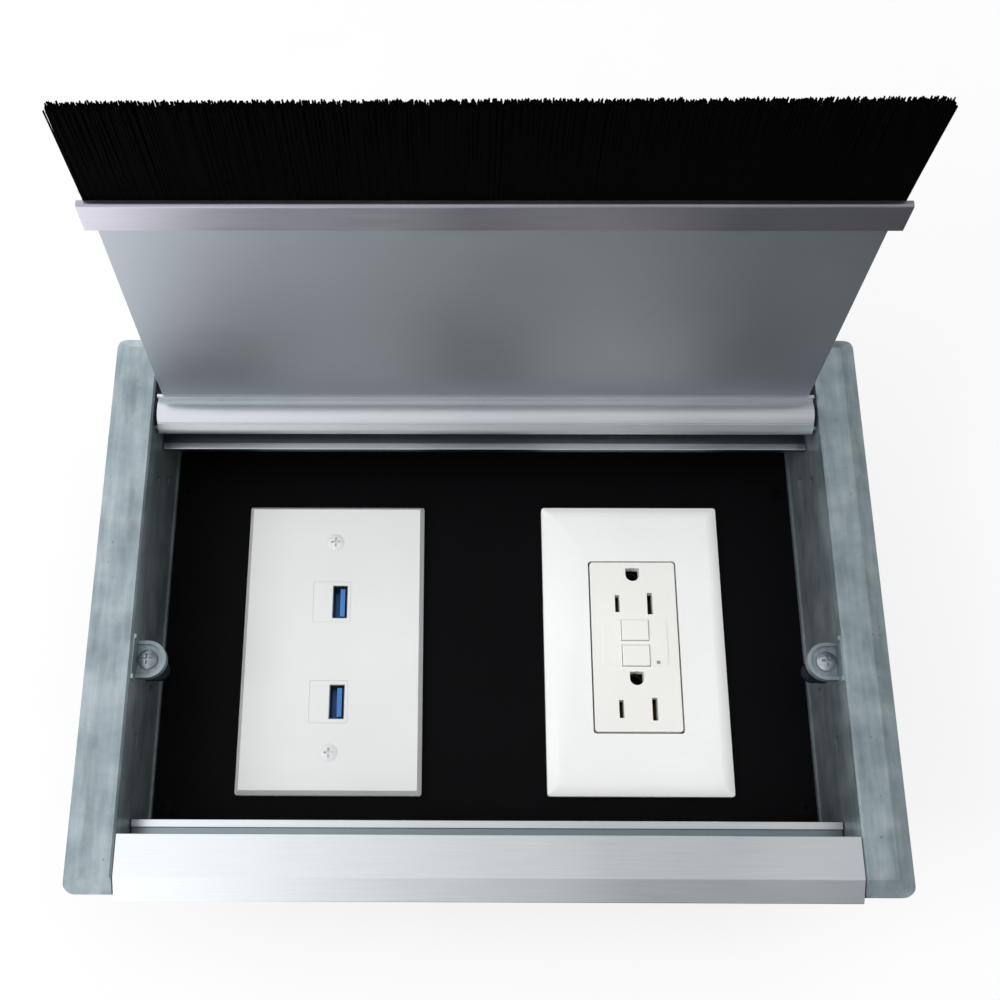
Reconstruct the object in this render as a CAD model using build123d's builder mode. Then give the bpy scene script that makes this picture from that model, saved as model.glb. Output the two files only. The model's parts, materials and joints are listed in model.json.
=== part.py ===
from build123d import *
import math
import os

os.makedirs("parts", exist_ok=True)

# A desk socket box: a flip-lid well let into a desk top, with a steel tub under it.
# Origin: middle of the tub's underside. +X right, +Y to the hinge side, +Z up. Millimetres.
# The lid stands open, as it does in use.

# Driving heights, from the tub's floor up
tub_depth = 56.1
panel_thickness = 1.5
well_depth = 46.4

# Side castings
frame_width = 283.2
casting_length = 205.4
casting_shift = -0.8
flange_width = 16.4
flange_thickness = 5.0
casting_wall = 3.0
casting_wall_length = 190.0
wall_overlap = 12.0
corner_radius = 4.0
inner_bevel = 0.7
crown_width = 5.6
crown_drop = 1.8
core_pocket_depth = 2.5
core_pocket_margin = 1.6
core_pocket_count = 8
core_rib = 2.0
foot_lip_reach = 0.8
foot_lip_height = 2.0
# Blind slots in the casting walls: place along Y, depth under the frame top, length, height
wall_slots = [(-50.5, 17.0, 5.5, 3.5), (-29.4, 33.0, 3.8, 6.6), (49.2, 16.6, 3.6, 4.4), (54.8, 31.6, 3.6, 4.4)]
slot_depth = 2.4

# Front and rear rails, measured outwards from the middle of the well
rail_inner_edge = 84.0
rail_flat_width = 13.9
rail_facet_width = 7.5
rail_facet_drop = 4.0
rail_skin = 2.0
rail_foot = 2.4
rail_nose_drop = 3.0
web_inner = 86.4
web_thickness = 2.0
rail_end_gap = 0.4
lip_depth = 19.5
lip_thickness = 1.6
front_lip_tip = 77.6
rear_lip_tip = 63.1
bead_width = 2.6
bead_height = 1.2
port_radius = 3.1
port_sink = 0.2
port_mouth = 1.6
port_depths = [9.2, 40.0]
rail_thread_radius = 1.7
rail_head_radius = 3.3
rail_screw_length = 16.0

# Lid and its hinge. Along the lid from the hinge axis, and outwards from it.
hinge_offset = 72.1
barrel_radius = 7.0
barrel_gap = 1.4
barrel_groove_angle = -56.0
barrel_groove_radius = 0.3
lid_open_angle = 97.8
plate_thickness = 3.0
plate_end_inset = 1.8
plate_tail = 2.0
plate_seat_in_channel = 5.0
channel_start = 107.6
channel_width = 10.9
channel_thickness = 8.0
brush_reach = 155.4
brush_end_inset = 0.5
bristle_thickness = 3.0
bristle_tip_thickness = 4.4
spine_width = 5.0
spine_depth = 2.8
spine_wall = 0.9
spine_clearance = 0.1
throat_clearance = 0.3
throat_depth = 1.4
jaw_thickness = 1.2
jaw_reach = 9.0
pin_radius = 2.2
pin_length = 15.0
pin_head_radius = 4.2
pin_head_height = 1.2
bush_radius = 3.4
bush_length = 12.0
bush_flange_radius = 4.0
bush_flange_thickness = 1.1
running_gap = 0.05
stop_peg_radius = 0.8
stop_peg_ring = 5.2
stop_peg_angle = 170.0
stop_groove_depth = 3.0
stop_gap = 0.15
lid_screw_count = 5
lid_screw_end_inset = 22.0
lid_thread_radius = 1.25
lid_head_radius = 2.4
lid_screw_inset = 1.8
lid_screw_length = 6.0
lid_screw_overdrill = 0.8
channel_screw_inset = 2.0

# Desk clamps
lug_centre_inset = 4.2
lug_y = -22.9
lug_radius = 6.75
lug_rim = 1.3
lug_rim_depth = 6.4
lug_floor_depth = 7.6
lug_underside_depth = 9.6
lug_pad_thickness = 0.4
lug_pad_half_length = 8.0
lug_pad_top_depth = 1.2
lug_tab_side = 1.6
lug_tab_thickness = 1.0
clamp_thread_radius = 1.75
clamp_hole_gap = 0.2
clamp_screw_length = 20.0
clamp_head_radius = 3.5
clamp_head_height = 2.2
clip_radius = 3.4
clip_thickness = 0.8
clip_gap = 0.4
strap_width = 8.0
strap_thickness = 2.0
strap_side_gap = 0.3
strap_tab_depth = 24.0
strap_travel = 8.0
strap_collar_height = 1.6
strap_grip_depth = 32.0
strap_foot_reach = 13.0
strap_foot_width = 14.0
strap_bend = 1.0

# Tub, divider and black panel
tub_sheet = 1.2
tub_side_gap = 0.2
tub_flange = 10.0
tub_corner_relief = 0.3
fold_radius = 1.5
tub_screw_y = 60.0
tub_screw_drop = 7.6
tub_collar_radius = 3.0
tub_collar_length = 2.6
panel_edge_gap = 0.3
panel_screw_front = -70.0
panel_screw_rear = 56.0
divider_sheet = 1.0
divider_foot = 12.0
divider_end_gap = 0.3
knockout_radius = 11.1
knockout_slit = 0.35
knockout_tab = 2.4
knockout_height = 24.0
power_knockout_shares = [0.36, 0.68]
data_entry_share = 0.48
bushing_bore = 8.6
bushing_flange_radius = 13.2
bushing_flange_thickness = 1.6
bushing_hook = 0.7
ground_screw_inset = 20.0
ground_screw_height = 38.0

# Both wall plates
plate_width = 70.0
plate_length = 114.3
plate_height = 5.2
devices_y = -9.2
device_share = 0.468
device_screw_spacing = 83.3
plate_wall = 2.0
plate_corner = 1.2
device_thread_radius = 1.75
device_opening_width = 45.2
device_opening_length = 70.8
collar_radius = 3.2
collar_length = 2.2

# Data plate and its couplers
data_bevel_width = 1.6
data_bevel_drop = 2.6
data_skin = 2.4
data_boss_radius = 4.6
insert_width = 14.3
insert_length = 15.9
insert_shift = -0.8
insert_gap = 0.2
insert_shoulder = 1.2
insert_shoulder_height = 6.0
insert_depth = 30.0
port_spacing = 39.4
port_shift = 2.4
port_row_shift = -2.6
shell_width = 5.74
shell_length = 13.14
shell_depth = 12.0
shell_sheet = 0.3
shell_gap = 0.05
shell_recess = 0.3
tongue_width = 1.84
tongue_length = 11.1
tongue_depth = 8.4
tongue_shift = 0.9
tongue_recess = 0.9
tongue_base = 2.6
contact_width = 1.0
contact_thickness = 0.15
contact_long = 4.8
contact_short = 1.6
contact_long_back = 3.5
contact_short_back = 1.8

# Power plate and the receptacle behind it
cover_bevel_width = 4.6
cover_bevel_drop = 2.2
face_width = 33.3
face_length = 66.9
face_rise = 0.6
face_gap = 0.6
subplate_thickness = 2.0
subplate_gap = 0.3
subplate_rim = 1.5
cover_screw_spacing = 96.8
yoke_thickness = 1.2
yoke_end_inset = 4.15
yoke_width = 30.0
yoke_end_width = 24.0
yoke_slot_length = 7.0
body_width = 43.0
body_length = 68.6
body_depth = 26.6
body_step = 10.0
body_inset = 1.2
pad_width = 24.7
pad_length = 18.2
pad_y = 0.8
pad_rise = 0.3
blade_spacing = 12.7
blade_rows = [16.6, -24.8]
line_slot = (1.8, 6.9)
neutral_slot = (2.1, 8.7)
ground_rise = 11.75
ground_width = 5.4
ground_height = 5.2
contact_sheet = 0.6
contact_depth = 9.0
contact_pocket_depth = 12.0
contact_pocket_margin = 1.2
button_width = 10.4
button_length = 8.1
button_gap = 0.2
button_rise = 0.8
button_travel = 1.0
button_flange = 0.8
button_stem = 5.0
button_well_width = 13.2
button_well_length = 18.6
button_well_depth = 8.0
contact_window_width = 18.0
contact_window_length = 20.0
contact_window_shift = 5.0
button_places = {"test": 5.8, "reset": -4.2}
lens_side = 1.2
lens_gap = 0.05
lens_place = (8.5, -6.8)
lens_rise = 0.1
terminal_head_radius = 3.6
terminal_head_height = 2.0
terminal_recess = 2.6
terminal_recess_width = 9.2
terminal_screw_length = 4.0
terminal_height = 13.0
wire_terminal_ys = [-10.0, 10.0]
ground_terminal_y = -27.0
yoke_head_radius = 3.0
cover_head_radius = 2.9

# Fasteners
countersink = 82.0
panel_thread_radius = 1.5
panel_head_radius = 2.7
panel_screw_length = 5.0
tub_screw_length = 8.0
tub_head_radius = 3.4
tub_head_height = 1.9
ground_head_radius = 4.2
ground_head_height = 2.4
data_head_radius = 3.4
data_head_dome = 0.7
data_screw_length = 8.5
yoke_screw_length = 8.0
cover_screw_length = 6.0
head_clearance = 0.05
screw_hole_gap = 0.1

# Derived places
panel_top = tub_depth + panel_thickness
frame_top = panel_top + well_depth
flange_bottom = frame_top - flange_thickness
half_width = frame_width / 2
wall_inner = half_width - flange_width
wall_outer = wall_inner + casting_wall
wall_bottom = panel_top - wall_overlap
rail_half = wall_inner - rail_end_gap
facet_start = rail_inner_edge + rail_flat_width
rail_outer = facet_start + rail_facet_width
web_outer = web_inner + web_thickness
port_centre = web_outer + port_radius - port_sink
port_bore = rail_thread_radius + running_gap
hinge_z = frame_top - barrel_radius
barrel_half = wall_inner - barrel_gap
plate_inner_face = barrel_radius - plate_thickness
channel_end = channel_start + channel_width
plate_end = channel_start + plate_seat_in_channel
plate_half_width = barrel_half - plate_end_inset
channel_half = barrel_half
brush_half_width = channel_half - brush_end_inset
channel_inner_face = barrel_radius - channel_thickness
brush_middle = barrel_radius - channel_thickness / 2
lug_x = wall_inner - lug_centre_inset
tub_half_width = wall_inner - tub_side_gap
tub_half_length = web_inner - tub_side_gap
power_x = device_share * wall_inner
data_x = -power_x
ports_y = devices_y + port_row_shift
yoke_length = plate_length - 2 * yoke_end_inset
plate_top = panel_top + plate_height
yoke_top = panel_top + yoke_thickness
face_top = plate_top + face_rise
pad_top = face_top + pad_rise
terminal_z = panel_top - body_depth + terminal_height
open_tilt = math.radians(lid_open_angle - 90)

# The lid's own section plane: X runs out along the lid, Y through it to its outer face
lid_section = Plane(
    origin=(0, hinge_offset, hinge_z),
    x_dir=(0, math.sin(open_tilt), math.cos(open_tilt)),
    z_dir=(-1, 0, 0),
)
right_wall_face = Plane.YZ.offset(wall_outer)


def sink_depth(head_radius, hole_radius):
    """Depth of a countersink from its mouth to the plain hole."""
    return (head_radius - hole_radius) / math.tan(math.radians(countersink / 2))


def screw_section(place):
    """A plane through a screw's axis: X across the screw, Y out of its head."""
    return Plane(origin=place.origin, x_dir=place.x_dir, z_dir=-place.y_dir)


def dome_middle(radius, edge, crown):
    """A point halfway in along a head's round top, which is level over the axis."""
    sphere = (radius**2 + (crown - edge) ** 2) / (2 * (crown - edge))
    return (radius / 2, crown - sphere + math.sqrt(sphere**2 - radius**2 / 4))


def flat_screws(places, shank, length, head, dome=0.0):
    """Countersunk screws. Each place's origin is in the middle of the head's top edge."""
    sink = sink_depth(head, shank)
    with BuildPart() as screws:
        for place in places:
            with BuildSketch(screw_section(place)):
                with BuildLine():
                    Line((0, dome), (0, -length))
                    Line((0, -length), (shank, -length))
                    Line((shank, -length), (shank, -sink))
                    Line((shank, -sink), (head, 0))
                    if dome:
                        ThreePointArc((head, 0), dome_middle(head, 0, dome), (0, dome))
                    else:
                        Line((head, 0), (0, 0))
                make_face()
            revolve(axis=Axis(place.origin, place.z_dir))
            cross_recess(place.offset(dome), head)
    return screws


def pan_screws(places, shank, length, head, head_height, domed=False):
    """Pan-head screws. Each place's origin is in the middle of the head's underside."""
    shoulder = head_height * 0.45
    with BuildPart() as screws:
        for place in places:
            with BuildSketch(screw_section(place)):
                with BuildLine():
                    Polyline(
                        (0, head_height), (0, -length), (shank, -length), (shank, 0), (head, 0), (head, shoulder)
                    )
                    if domed:
                        middle = dome_middle(head, shoulder, head_height)
                        ThreePointArc((head, shoulder), middle, (0, head_height))
                    else:
                        Polyline((head, shoulder), (head - shoulder, head_height), (0, head_height))
                make_face()
            revolve(axis=Axis(place.origin, place.z_dir))
            cross_recess(place.offset(head_height), head)
    return screws


def cross_recess(place, head):
    """A cross cut into the head of the screw that is being built."""
    with BuildSketch(place) as recess:
        Rectangle(head * 1.1, head * 0.24)
        Rectangle(head * 0.24, head * 1.1)
    extrude(recess.sketch, amount=-head * 0.38, mode=Mode.SUBTRACT)


def mirrored(piece):
    """The same piece on the other side of the box."""
    with BuildPart() as other:
        mirror(piece.part, about=Plane.YZ)
    return other


def at(x, y, z):
    """A level plane with its origin at a point."""
    return Plane(origin=(x, y, z))


# Side castings
def side_casting():
    flange_middle = half_width - flange_width / 2
    pocket_pitch = (casting_length - 2 * corner_radius - core_rib) / core_pocket_count
    pocket_width = flange_width - casting_wall - 2 * core_pocket_margin - crown_width / 4
    pocket_x = wall_outer + core_pocket_margin + pocket_width / 2
    with BuildPart() as casting:
        # Flange that lies on the desk, round at its two outer corners
        with BuildSketch(Plane.XY.offset(flange_bottom)) as flange_plan:
            with Locations((flange_middle, casting_shift)):
                Rectangle(flange_width, casting_length)
            fillet(flange_plan.vertices().group_by(Axis.X)[-1], corner_radius)
        extrude(amount=flange_thickness)
        # Shallow crown on the outer side and a fine bevel on the inner edge
        with BuildSketch(Plane.XZ.offset(-casting_shift)):
            with BuildLine():
                Polyline(
                    (half_width - crown_width, frame_top),
                    (half_width, frame_top),
                    (half_width, frame_top - crown_drop),
                    close=True,
                )
            make_face()
            with BuildLine():
                Polyline(
                    (wall_inner, frame_top),
                    (wall_inner + inner_bevel, frame_top),
                    (wall_inner, frame_top - inner_bevel),
                    close=True,
                )
            make_face()
        extrude(amount=casting_length / 2, both=True, mode=Mode.SUBTRACT)
        # Both ends slope down like the rails' outer facets
        with BuildSketch(Plane.YZ.offset(wall_inner)):
            for side in (-1, 1):
                with BuildLine():
                    Polyline(
                        (side * facet_start, frame_top),
                        (side * rail_outer, frame_top),
                        (side * rail_outer, frame_top - rail_facet_drop),
                        close=True,
                    )
                make_face()
        extrude(amount=flange_width, mode=Mode.SUBTRACT)
        # Cored pockets under the flange leave a rim and ribs
        with BuildSketch(Plane.XY.offset(flange_bottom)):
            with Locations((pocket_x, casting_shift)):
                with GridLocations(pocket_width, pocket_pitch, 1, core_pocket_count):
                    Rectangle(pocket_width, pocket_pitch - core_rib)
        extrude(amount=core_pocket_depth, mode=Mode.SUBTRACT)
        # Side wall of the well, with a small foot lip over the edge of the black panel
        with BuildSketch(Plane.XZ):
            with Locations(((wall_inner + wall_outer) / 2, (wall_bottom + flange_bottom) / 2)):
                Rectangle(casting_wall, flange_bottom - wall_bottom)
        extrude(amount=casting_wall_length / 2, both=True)
        with BuildSketch(Plane.XZ):
            with Locations((wall_inner - foot_lip_reach / 2, panel_top + foot_lip_height / 2)):
                Rectangle(foot_lip_reach, foot_lip_height)
        extrude(amount=tub_half_length, both=True)
        # Seats for the rail ends
        with BuildSketch(Plane.YZ.offset(wall_inner)):
            for side in (-1, 1):
                with Locations(*[(side * port_centre, frame_top - depth) for depth in port_depths]):
                    Circle(port_radius)
        extrude(amount=-rail_end_gap)
        # Clamp lug: a half-round cup with a raised rim, open to the wall, and its backing pad
        with BuildSketch(Plane.XY.offset(frame_top - lug_underside_depth)):
            lug_outline(lug_radius)
        extrude(amount=lug_underside_depth - lug_rim_depth)
        with BuildSketch(Plane.XY.offset(frame_top - lug_floor_depth)):
            lug_outline(lug_radius - lug_rim)
        extrude(amount=lug_floor_depth - lug_rim_depth, mode=Mode.SUBTRACT)
        pad_height = lug_underside_depth - lug_pad_top_depth
        with BuildSketch(Plane.YZ.offset(wall_inner)):
            with Locations((lug_y, frame_top - lug_pad_top_depth - pad_height / 2)):
                Rectangle(2 * lug_pad_half_length, pad_height)
        extrude(amount=-lug_pad_thickness)
        tab_offset = lug_pad_half_length - lug_tab_side / 2
        tab_z = frame_top - lug_pad_top_depth - lug_tab_side / 2
        with BuildSketch(Plane.YZ.offset(wall_inner)):
            with Locations((lug_y - tab_offset, tab_z), (lug_y + tab_offset, tab_z)):
                Rectangle(lug_tab_side, lug_tab_side)
        extrude(amount=-lug_tab_thickness)
        with BuildSketch(Plane.XY.offset(frame_top - lug_underside_depth)):
            with Locations((lug_x, lug_y)):
                Circle(clamp_thread_radius + clamp_hole_gap)
        extrude(amount=lug_underside_depth - lug_floor_depth, mode=Mode.SUBTRACT)
        # Window that the clamp strap rides in, under the lug
        window_top = strap_tab_depth - strap_travel - 2 * strap_side_gap
        window_bottom = strap_tab_depth + strap_thickness + 2 * strap_side_gap
        with BuildSketch(right_wall_face):
            with Locations((lug_y, frame_top - (window_top + window_bottom) / 2)):
                Rectangle(strap_width + 2 * strap_side_gap, window_bottom - window_top)
        extrude(amount=-casting_wall, mode=Mode.SUBTRACT)
        with BuildSketch(Plane.YZ.offset(wall_inner)):
            for y, depth, length, height in wall_slots:
                with Locations((y, frame_top - depth)):
                    Rectangle(length, height)
        extrude(amount=slot_depth, mode=Mode.SUBTRACT)
        # Screw holes: rails, tub, hinge pin
        with Locations(right_wall_face):
            for side in (-1, 1):
                with Locations(*[(side * port_centre, frame_top - depth) for depth in port_depths]):
                    CounterSinkHole(
                        rail_thread_radius + screw_hole_gap,
                        rail_head_radius,
                        depth=casting_wall + rail_end_gap,
                        counter_sink_angle=countersink,
                    )
                with Locations((side * tub_screw_y, panel_top - tub_screw_drop)):
                    Hole(device_thread_radius + screw_hole_gap, depth=casting_wall)
            with Locations((hinge_offset, hinge_z)):
                CounterBoreHole(
                    pin_radius + running_gap,
                    pin_head_radius + running_gap,
                    pin_head_height,
                    depth=casting_wall,
                )
        # Peg that stops the lid at both ends of its swing
        peg_y = hinge_offset + stop_peg_ring * math.cos(math.radians(stop_peg_angle))
        peg_z = hinge_z + stop_peg_ring * math.sin(math.radians(stop_peg_angle))
        with BuildSketch(Plane.YZ.offset(wall_inner)):
            with Locations((peg_y, peg_z)):
                Circle(stop_peg_radius)
        extrude(amount=-(barrel_gap + stop_groove_depth * 0.7))
    return casting


def lug_outline(radius):
    """Half-round outline of the clamp lug, drawn into the current sketch."""
    with Locations((lug_x, lug_y)):
        Circle(radius)
    with Locations((lug_x + lug_centre_inset / 2, lug_y)):
        Rectangle(lug_centre_inset, 2 * radius)


side_casting_right = side_casting()
side_casting_left = mirrored(side_casting_right)


# Front and rear rails: one extrusion form, with a longer inner lip under the hinge
def rail(lip_tip):
    lip_top = frame_top - lip_depth
    with BuildPart() as extrusion:
        with BuildSketch(Plane.YZ):
            with BuildLine():
                Polyline(
                    (rail_inner_edge, frame_top),
                    (facet_start, frame_top),
                    (rail_outer, frame_top - rail_facet_drop),
                    (rail_outer, flange_bottom),
                    (rail_outer - rail_foot, flange_bottom),
                    (facet_start - rail_skin / 4, frame_top - rail_skin),
                    (web_outer, frame_top - rail_skin),
                    (web_outer, wall_bottom),
                    (web_inner, wall_bottom),
                    (web_inner, lip_top - lip_thickness),
                    (lip_tip, lip_top - lip_thickness),
                    (lip_tip, lip_top + bead_height),
                    (lip_tip + bead_width, lip_top + bead_height),
                    (lip_tip + bead_width, lip_top),
                    (web_inner, lip_top),
                    (web_inner, frame_top - rail_nose_drop - (web_inner - rail_inner_edge)),
                    (rail_inner_edge, frame_top - rail_nose_drop),
                    close=True,
                )
            make_face()
            for depth in port_depths:
                with Locations((port_centre, frame_top - depth)):
                    Circle(port_radius)
            for depth in port_depths:
                with Locations((port_centre, frame_top - depth)):
                    Circle(port_bore, mode=Mode.SUBTRACT)
                with Locations((port_centre + port_radius, frame_top - depth)):
                    Rectangle(2 * port_radius, port_mouth, mode=Mode.SUBTRACT)
        extrude(amount=rail_half, both=True)
    return extrusion


rear_rail = rail(rear_lip_tip)
front_rail_form = rail(front_lip_tip)
with BuildPart() as front_rail:
    mirror(front_rail_form.part, about=Plane.XZ)

rail_screw_places = []
for side in (-1, 1):
    for end in (-1, 1):
        for depth in port_depths:
            rail_screw_places.append(
                Plane(
                    origin=(side * wall_outer, end * port_centre, frame_top - depth),
                    x_dir=(0, 1, 0),
                    z_dir=(side, 0, 0),
                )
            )
rail_screws = flat_screws(rail_screw_places, rail_thread_radius, rail_screw_length, rail_head_radius - head_clearance)


# Hinge: pins in the castings, flanged bushes in the ends of the barrel
with BuildPart() as hinge_pins:
    for side in (-1, 1):
        with BuildSketch(Plane(origin=(side * wall_outer, hinge_offset, hinge_z), z_dir=(-side, 0, 0))) as pin_head:
            Circle(pin_head_radius)
        extrude(amount=pin_head_height)
        with BuildSketch(pin_head.workplanes[0]):
            Circle(pin_radius)
        extrude(amount=pin_length)

with BuildPart() as hinge_bushes:
    for side in (-1, 1):
        barrel_end = Plane(origin=(side * barrel_half, hinge_offset, hinge_z), z_dir=(side, 0, 0))
        with BuildSketch(barrel_end):
            Circle(bush_flange_radius)
        extrude(amount=bush_flange_thickness)
        with BuildSketch(barrel_end):
            Circle(bush_radius)
        extrude(amount=-bush_length)
        with BuildSketch(barrel_end.offset(bush_flange_thickness)):
            Circle(pin_radius + running_gap)
        extrude(amount=-bush_length - bush_flange_thickness, mode=Mode.SUBTRACT)

groove_line = CenterArc(
    (hinge_offset, hinge_z), stop_peg_ring, stop_peg_angle - lid_open_angle, lid_open_angle
)
lid_screw_line = barrel_radius - lid_screw_inset
lid_screw_spacing = 2 * (plate_half_width - lid_screw_end_inset) / (lid_screw_count - 1)
lid_screw_xs = [(i - (lid_screw_count - 1) / 2) * lid_screw_spacing for i in range(lid_screw_count)]


def lid_point(along, through, x):
    """A point of the lid, from its distance along the lid, its height in it and its X."""
    return lid_section.from_local_coords(Vector(along, through, -x))


def lid_screw_places(along):
    """Screw places on the lid's outer face."""
    outward = lid_section.y_dir
    return [
        Plane(origin=lid_point(along, barrel_radius, x), x_dir=(1, 0, 0), z_dir=outward)
        for x in lid_screw_xs
    ]


with BuildPart() as hinge_barrel:
    with BuildSketch(lid_section):
        Circle(barrel_radius)
        with Locations((jaw_reach / 2, plate_inner_face - jaw_thickness / 2)):
            Rectangle(jaw_reach, jaw_thickness)
        with Locations((-plate_tail, plate_inner_face)):
            Rectangle(
                3 * barrel_radius, 2 * barrel_radius, align=(Align.MIN, Align.MIN), mode=Mode.SUBTRACT
            )
        Circle(bush_radius, mode=Mode.SUBTRACT)
        with PolarLocations(barrel_radius, 1, start_angle=barrel_groove_angle):
            Circle(barrel_groove_radius, mode=Mode.SUBTRACT)
    extrude(amount=barrel_half, both=True)
    # Curved stop grooves in both ends
    for side in (-1, 1):
        with BuildSketch(Plane.YZ.offset(side * barrel_half)):
            SlotArc(groove_line, 2 * (stop_peg_radius + stop_gap))
        extrude(amount=stop_groove_depth, both=True, mode=Mode.SUBTRACT)
    for place in lid_screw_places(lid_screw_line):
        with BuildSketch(place):
            Circle(lid_thread_radius + running_gap)
        extrude(amount=-lid_screw_length - lid_screw_overdrill, mode=Mode.SUBTRACT)

channel_screw_line = channel_start + channel_screw_inset
with BuildPart() as lid_plate:
    with BuildSketch(lid_section):
        with Locations((-plate_tail, plate_inner_face)):
            Rectangle(plate_end + plate_tail, plate_thickness, align=(Align.MIN, Align.MIN))
    extrude(amount=plate_half_width, both=True)
    for line in (lid_screw_line, channel_screw_line):
        with Locations(*lid_screw_places(line)):
            CounterSinkHole(
                lid_thread_radius + screw_hole_gap,
                lid_head_radius,
                depth=plate_thickness,
                counter_sink_angle=countersink,
            )

lid_screws = flat_screws(
    lid_screw_places(lid_screw_line), lid_thread_radius, lid_screw_length, lid_head_radius - head_clearance
)
channel_screws = flat_screws(
    lid_screw_places(channel_screw_line), lid_thread_radius, lid_screw_length, lid_head_radius - head_clearance
)


# Brush channel on the lid's free edge, its brush strip and the bristles
spine_start = channel_end - throat_depth - spine_depth
with BuildPart() as brush_channel:
    with BuildSketch(lid_section) as channel_section:
        with Locations((channel_start, channel_inner_face)):
            Rectangle(channel_width, channel_thickness, align=(Align.MIN, Align.MIN))
        fillet(channel_section.vertices().group_by(Axis.Y)[0].sort_by(Axis.X)[-1], strap_bend)
        with Locations((channel_start, plate_inner_face)):
            Rectangle(
                plate_seat_in_channel, 2 * plate_thickness, align=(Align.MIN, Align.MIN), mode=Mode.SUBTRACT
            )
        with Locations((spine_start - spine_clearance, brush_middle)):
            Rectangle(
                spine_depth + 2 * spine_clearance,
                spine_width + 2 * spine_clearance,
                align=(Align.MIN, Align.CENTER),
                mode=Mode.SUBTRACT,
            )
            Rectangle(
                channel_width,
                bristle_thickness + 2 * throat_clearance,
                align=(Align.MIN, Align.CENTER),
                mode=Mode.SUBTRACT,
            )
    extrude(amount=channel_half, both=True)
    for place in lid_screw_places(channel_screw_line):
        with BuildSketch(place):
            Circle(lid_thread_radius + running_gap)
        extrude(amount=-lid_screw_length - running_gap, mode=Mode.SUBTRACT)

with BuildPart() as brush_spine:
    with BuildSketch(lid_section):
        with Locations((spine_start, brush_middle)):
            Rectangle(spine_depth, spine_width, align=(Align.MIN, Align.CENTER))
        with Locations((spine_start + spine_wall, brush_middle)):
            Rectangle(
                spine_depth, spine_width - 2 * spine_wall, align=(Align.MIN, Align.CENTER), mode=Mode.SUBTRACT
            )
    extrude(amount=brush_half_width, both=True)

with BuildPart() as brush_bristles:
    with BuildSketch(lid_section):
        with BuildLine():
            Polyline(
                (spine_start + spine_wall, brush_middle - bristle_thickness / 2),
                (channel_end, brush_middle - bristle_thickness / 2),
                (brush_reach, brush_middle - bristle_tip_thickness / 2),
                (brush_reach, brush_middle + bristle_tip_thickness / 2),
                (channel_end, brush_middle + bristle_thickness / 2),
                (spine_start + spine_wall, brush_middle + bristle_thickness / 2),
                close=True,
            )
        make_face()
    extrude(amount=brush_half_width, both=True)


# Desk clamps: a screw in each lug lifts a bent strap that grips the desk from below
with BuildPart() as clamp_strap_right:
    tab_end = lug_x - strap_width / 2
    leg_inner = wall_outer + strap_side_gap
    leg_outer = leg_inner + strap_thickness
    foot_end = leg_inner + strap_foot_reach
    with BuildSketch(Plane.XY.offset(frame_top - strap_tab_depth)):
        with Locations((lug_x, lug_y)):
            Circle(strap_width / 2)
            Rectangle(leg_outer + strap_bend - lug_x, strap_width, align=(Align.MIN, Align.CENTER))
        with Locations((leg_outer + strap_bend, lug_y)):
            Rectangle(strap_foot_reach, strap_foot_width, align=(Align.MIN, Align.CENTER))
    extrude(amount=-strap_grip_depth)
    with BuildSketch(Plane.XZ) as strap_section:
        with BuildLine():
            Polyline(
                (tab_end, frame_top - strap_tab_depth),
                (leg_outer, frame_top - strap_tab_depth),
                (leg_outer, frame_top - strap_grip_depth),
                (foot_end, frame_top - strap_grip_depth),
                (foot_end, frame_top - strap_grip_depth - strap_thickness),
                (leg_inner, frame_top - strap_grip_depth - strap_thickness),
                (leg_inner, frame_top - strap_tab_depth - strap_thickness),
                (tab_end, frame_top - strap_tab_depth - strap_thickness),
                close=True,
            )
        make_face()
        inner_bends = [(leg_outer, strap_grip_depth), (leg_inner, strap_tab_depth + strap_thickness)]
        outer_bends = [(leg_outer, strap_tab_depth), (leg_inner, strap_grip_depth + strap_thickness)]
        for bends, radius in ((inner_bends, strap_bend), (outer_bends, strap_bend + strap_thickness)):
            for x, depth in bends:
                fillet(strap_section.vertices().sort_by_distance((x, frame_top - depth, 0))[0], radius)
    extrude(amount=strap_foot_width - lug_y, both=True, mode=Mode.INTERSECT)
    with BuildSketch(Plane.XY.offset(frame_top - strap_tab_depth - strap_thickness)):
        with Locations((lug_x, lug_y)):
            Circle(clip_radius)
    extrude(amount=-strap_collar_height)
    with BuildSketch(Plane.XY.offset(frame_top - strap_tab_depth)):
        with Locations((lug_x, lug_y)):
            Circle(clamp_thread_radius + clamp_hole_gap)
    extrude(amount=-strap_thickness - strap_collar_height, mode=Mode.SUBTRACT)

clamp_strap_left = mirrored(clamp_strap_right)
clamp_screw_right = pan_screws(
    [at(lug_x, lug_y, frame_top - lug_floor_depth)],
    clamp_thread_radius,
    clamp_screw_length,
    clamp_head_radius,
    clamp_head_height,
    domed=True,
)
clamp_screw_left = mirrored(clamp_screw_right)
with BuildPart() as clamp_clip_right:
    with BuildSketch(Plane.XY.offset(frame_top - lug_underside_depth - clip_gap)):
        with Locations((lug_x, lug_y)):
            Circle(clip_radius)
            Circle(clamp_thread_radius, mode=Mode.SUBTRACT)
    extrude(amount=-clip_thickness)
clamp_clip_left = mirrored(clamp_clip_right)


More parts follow.
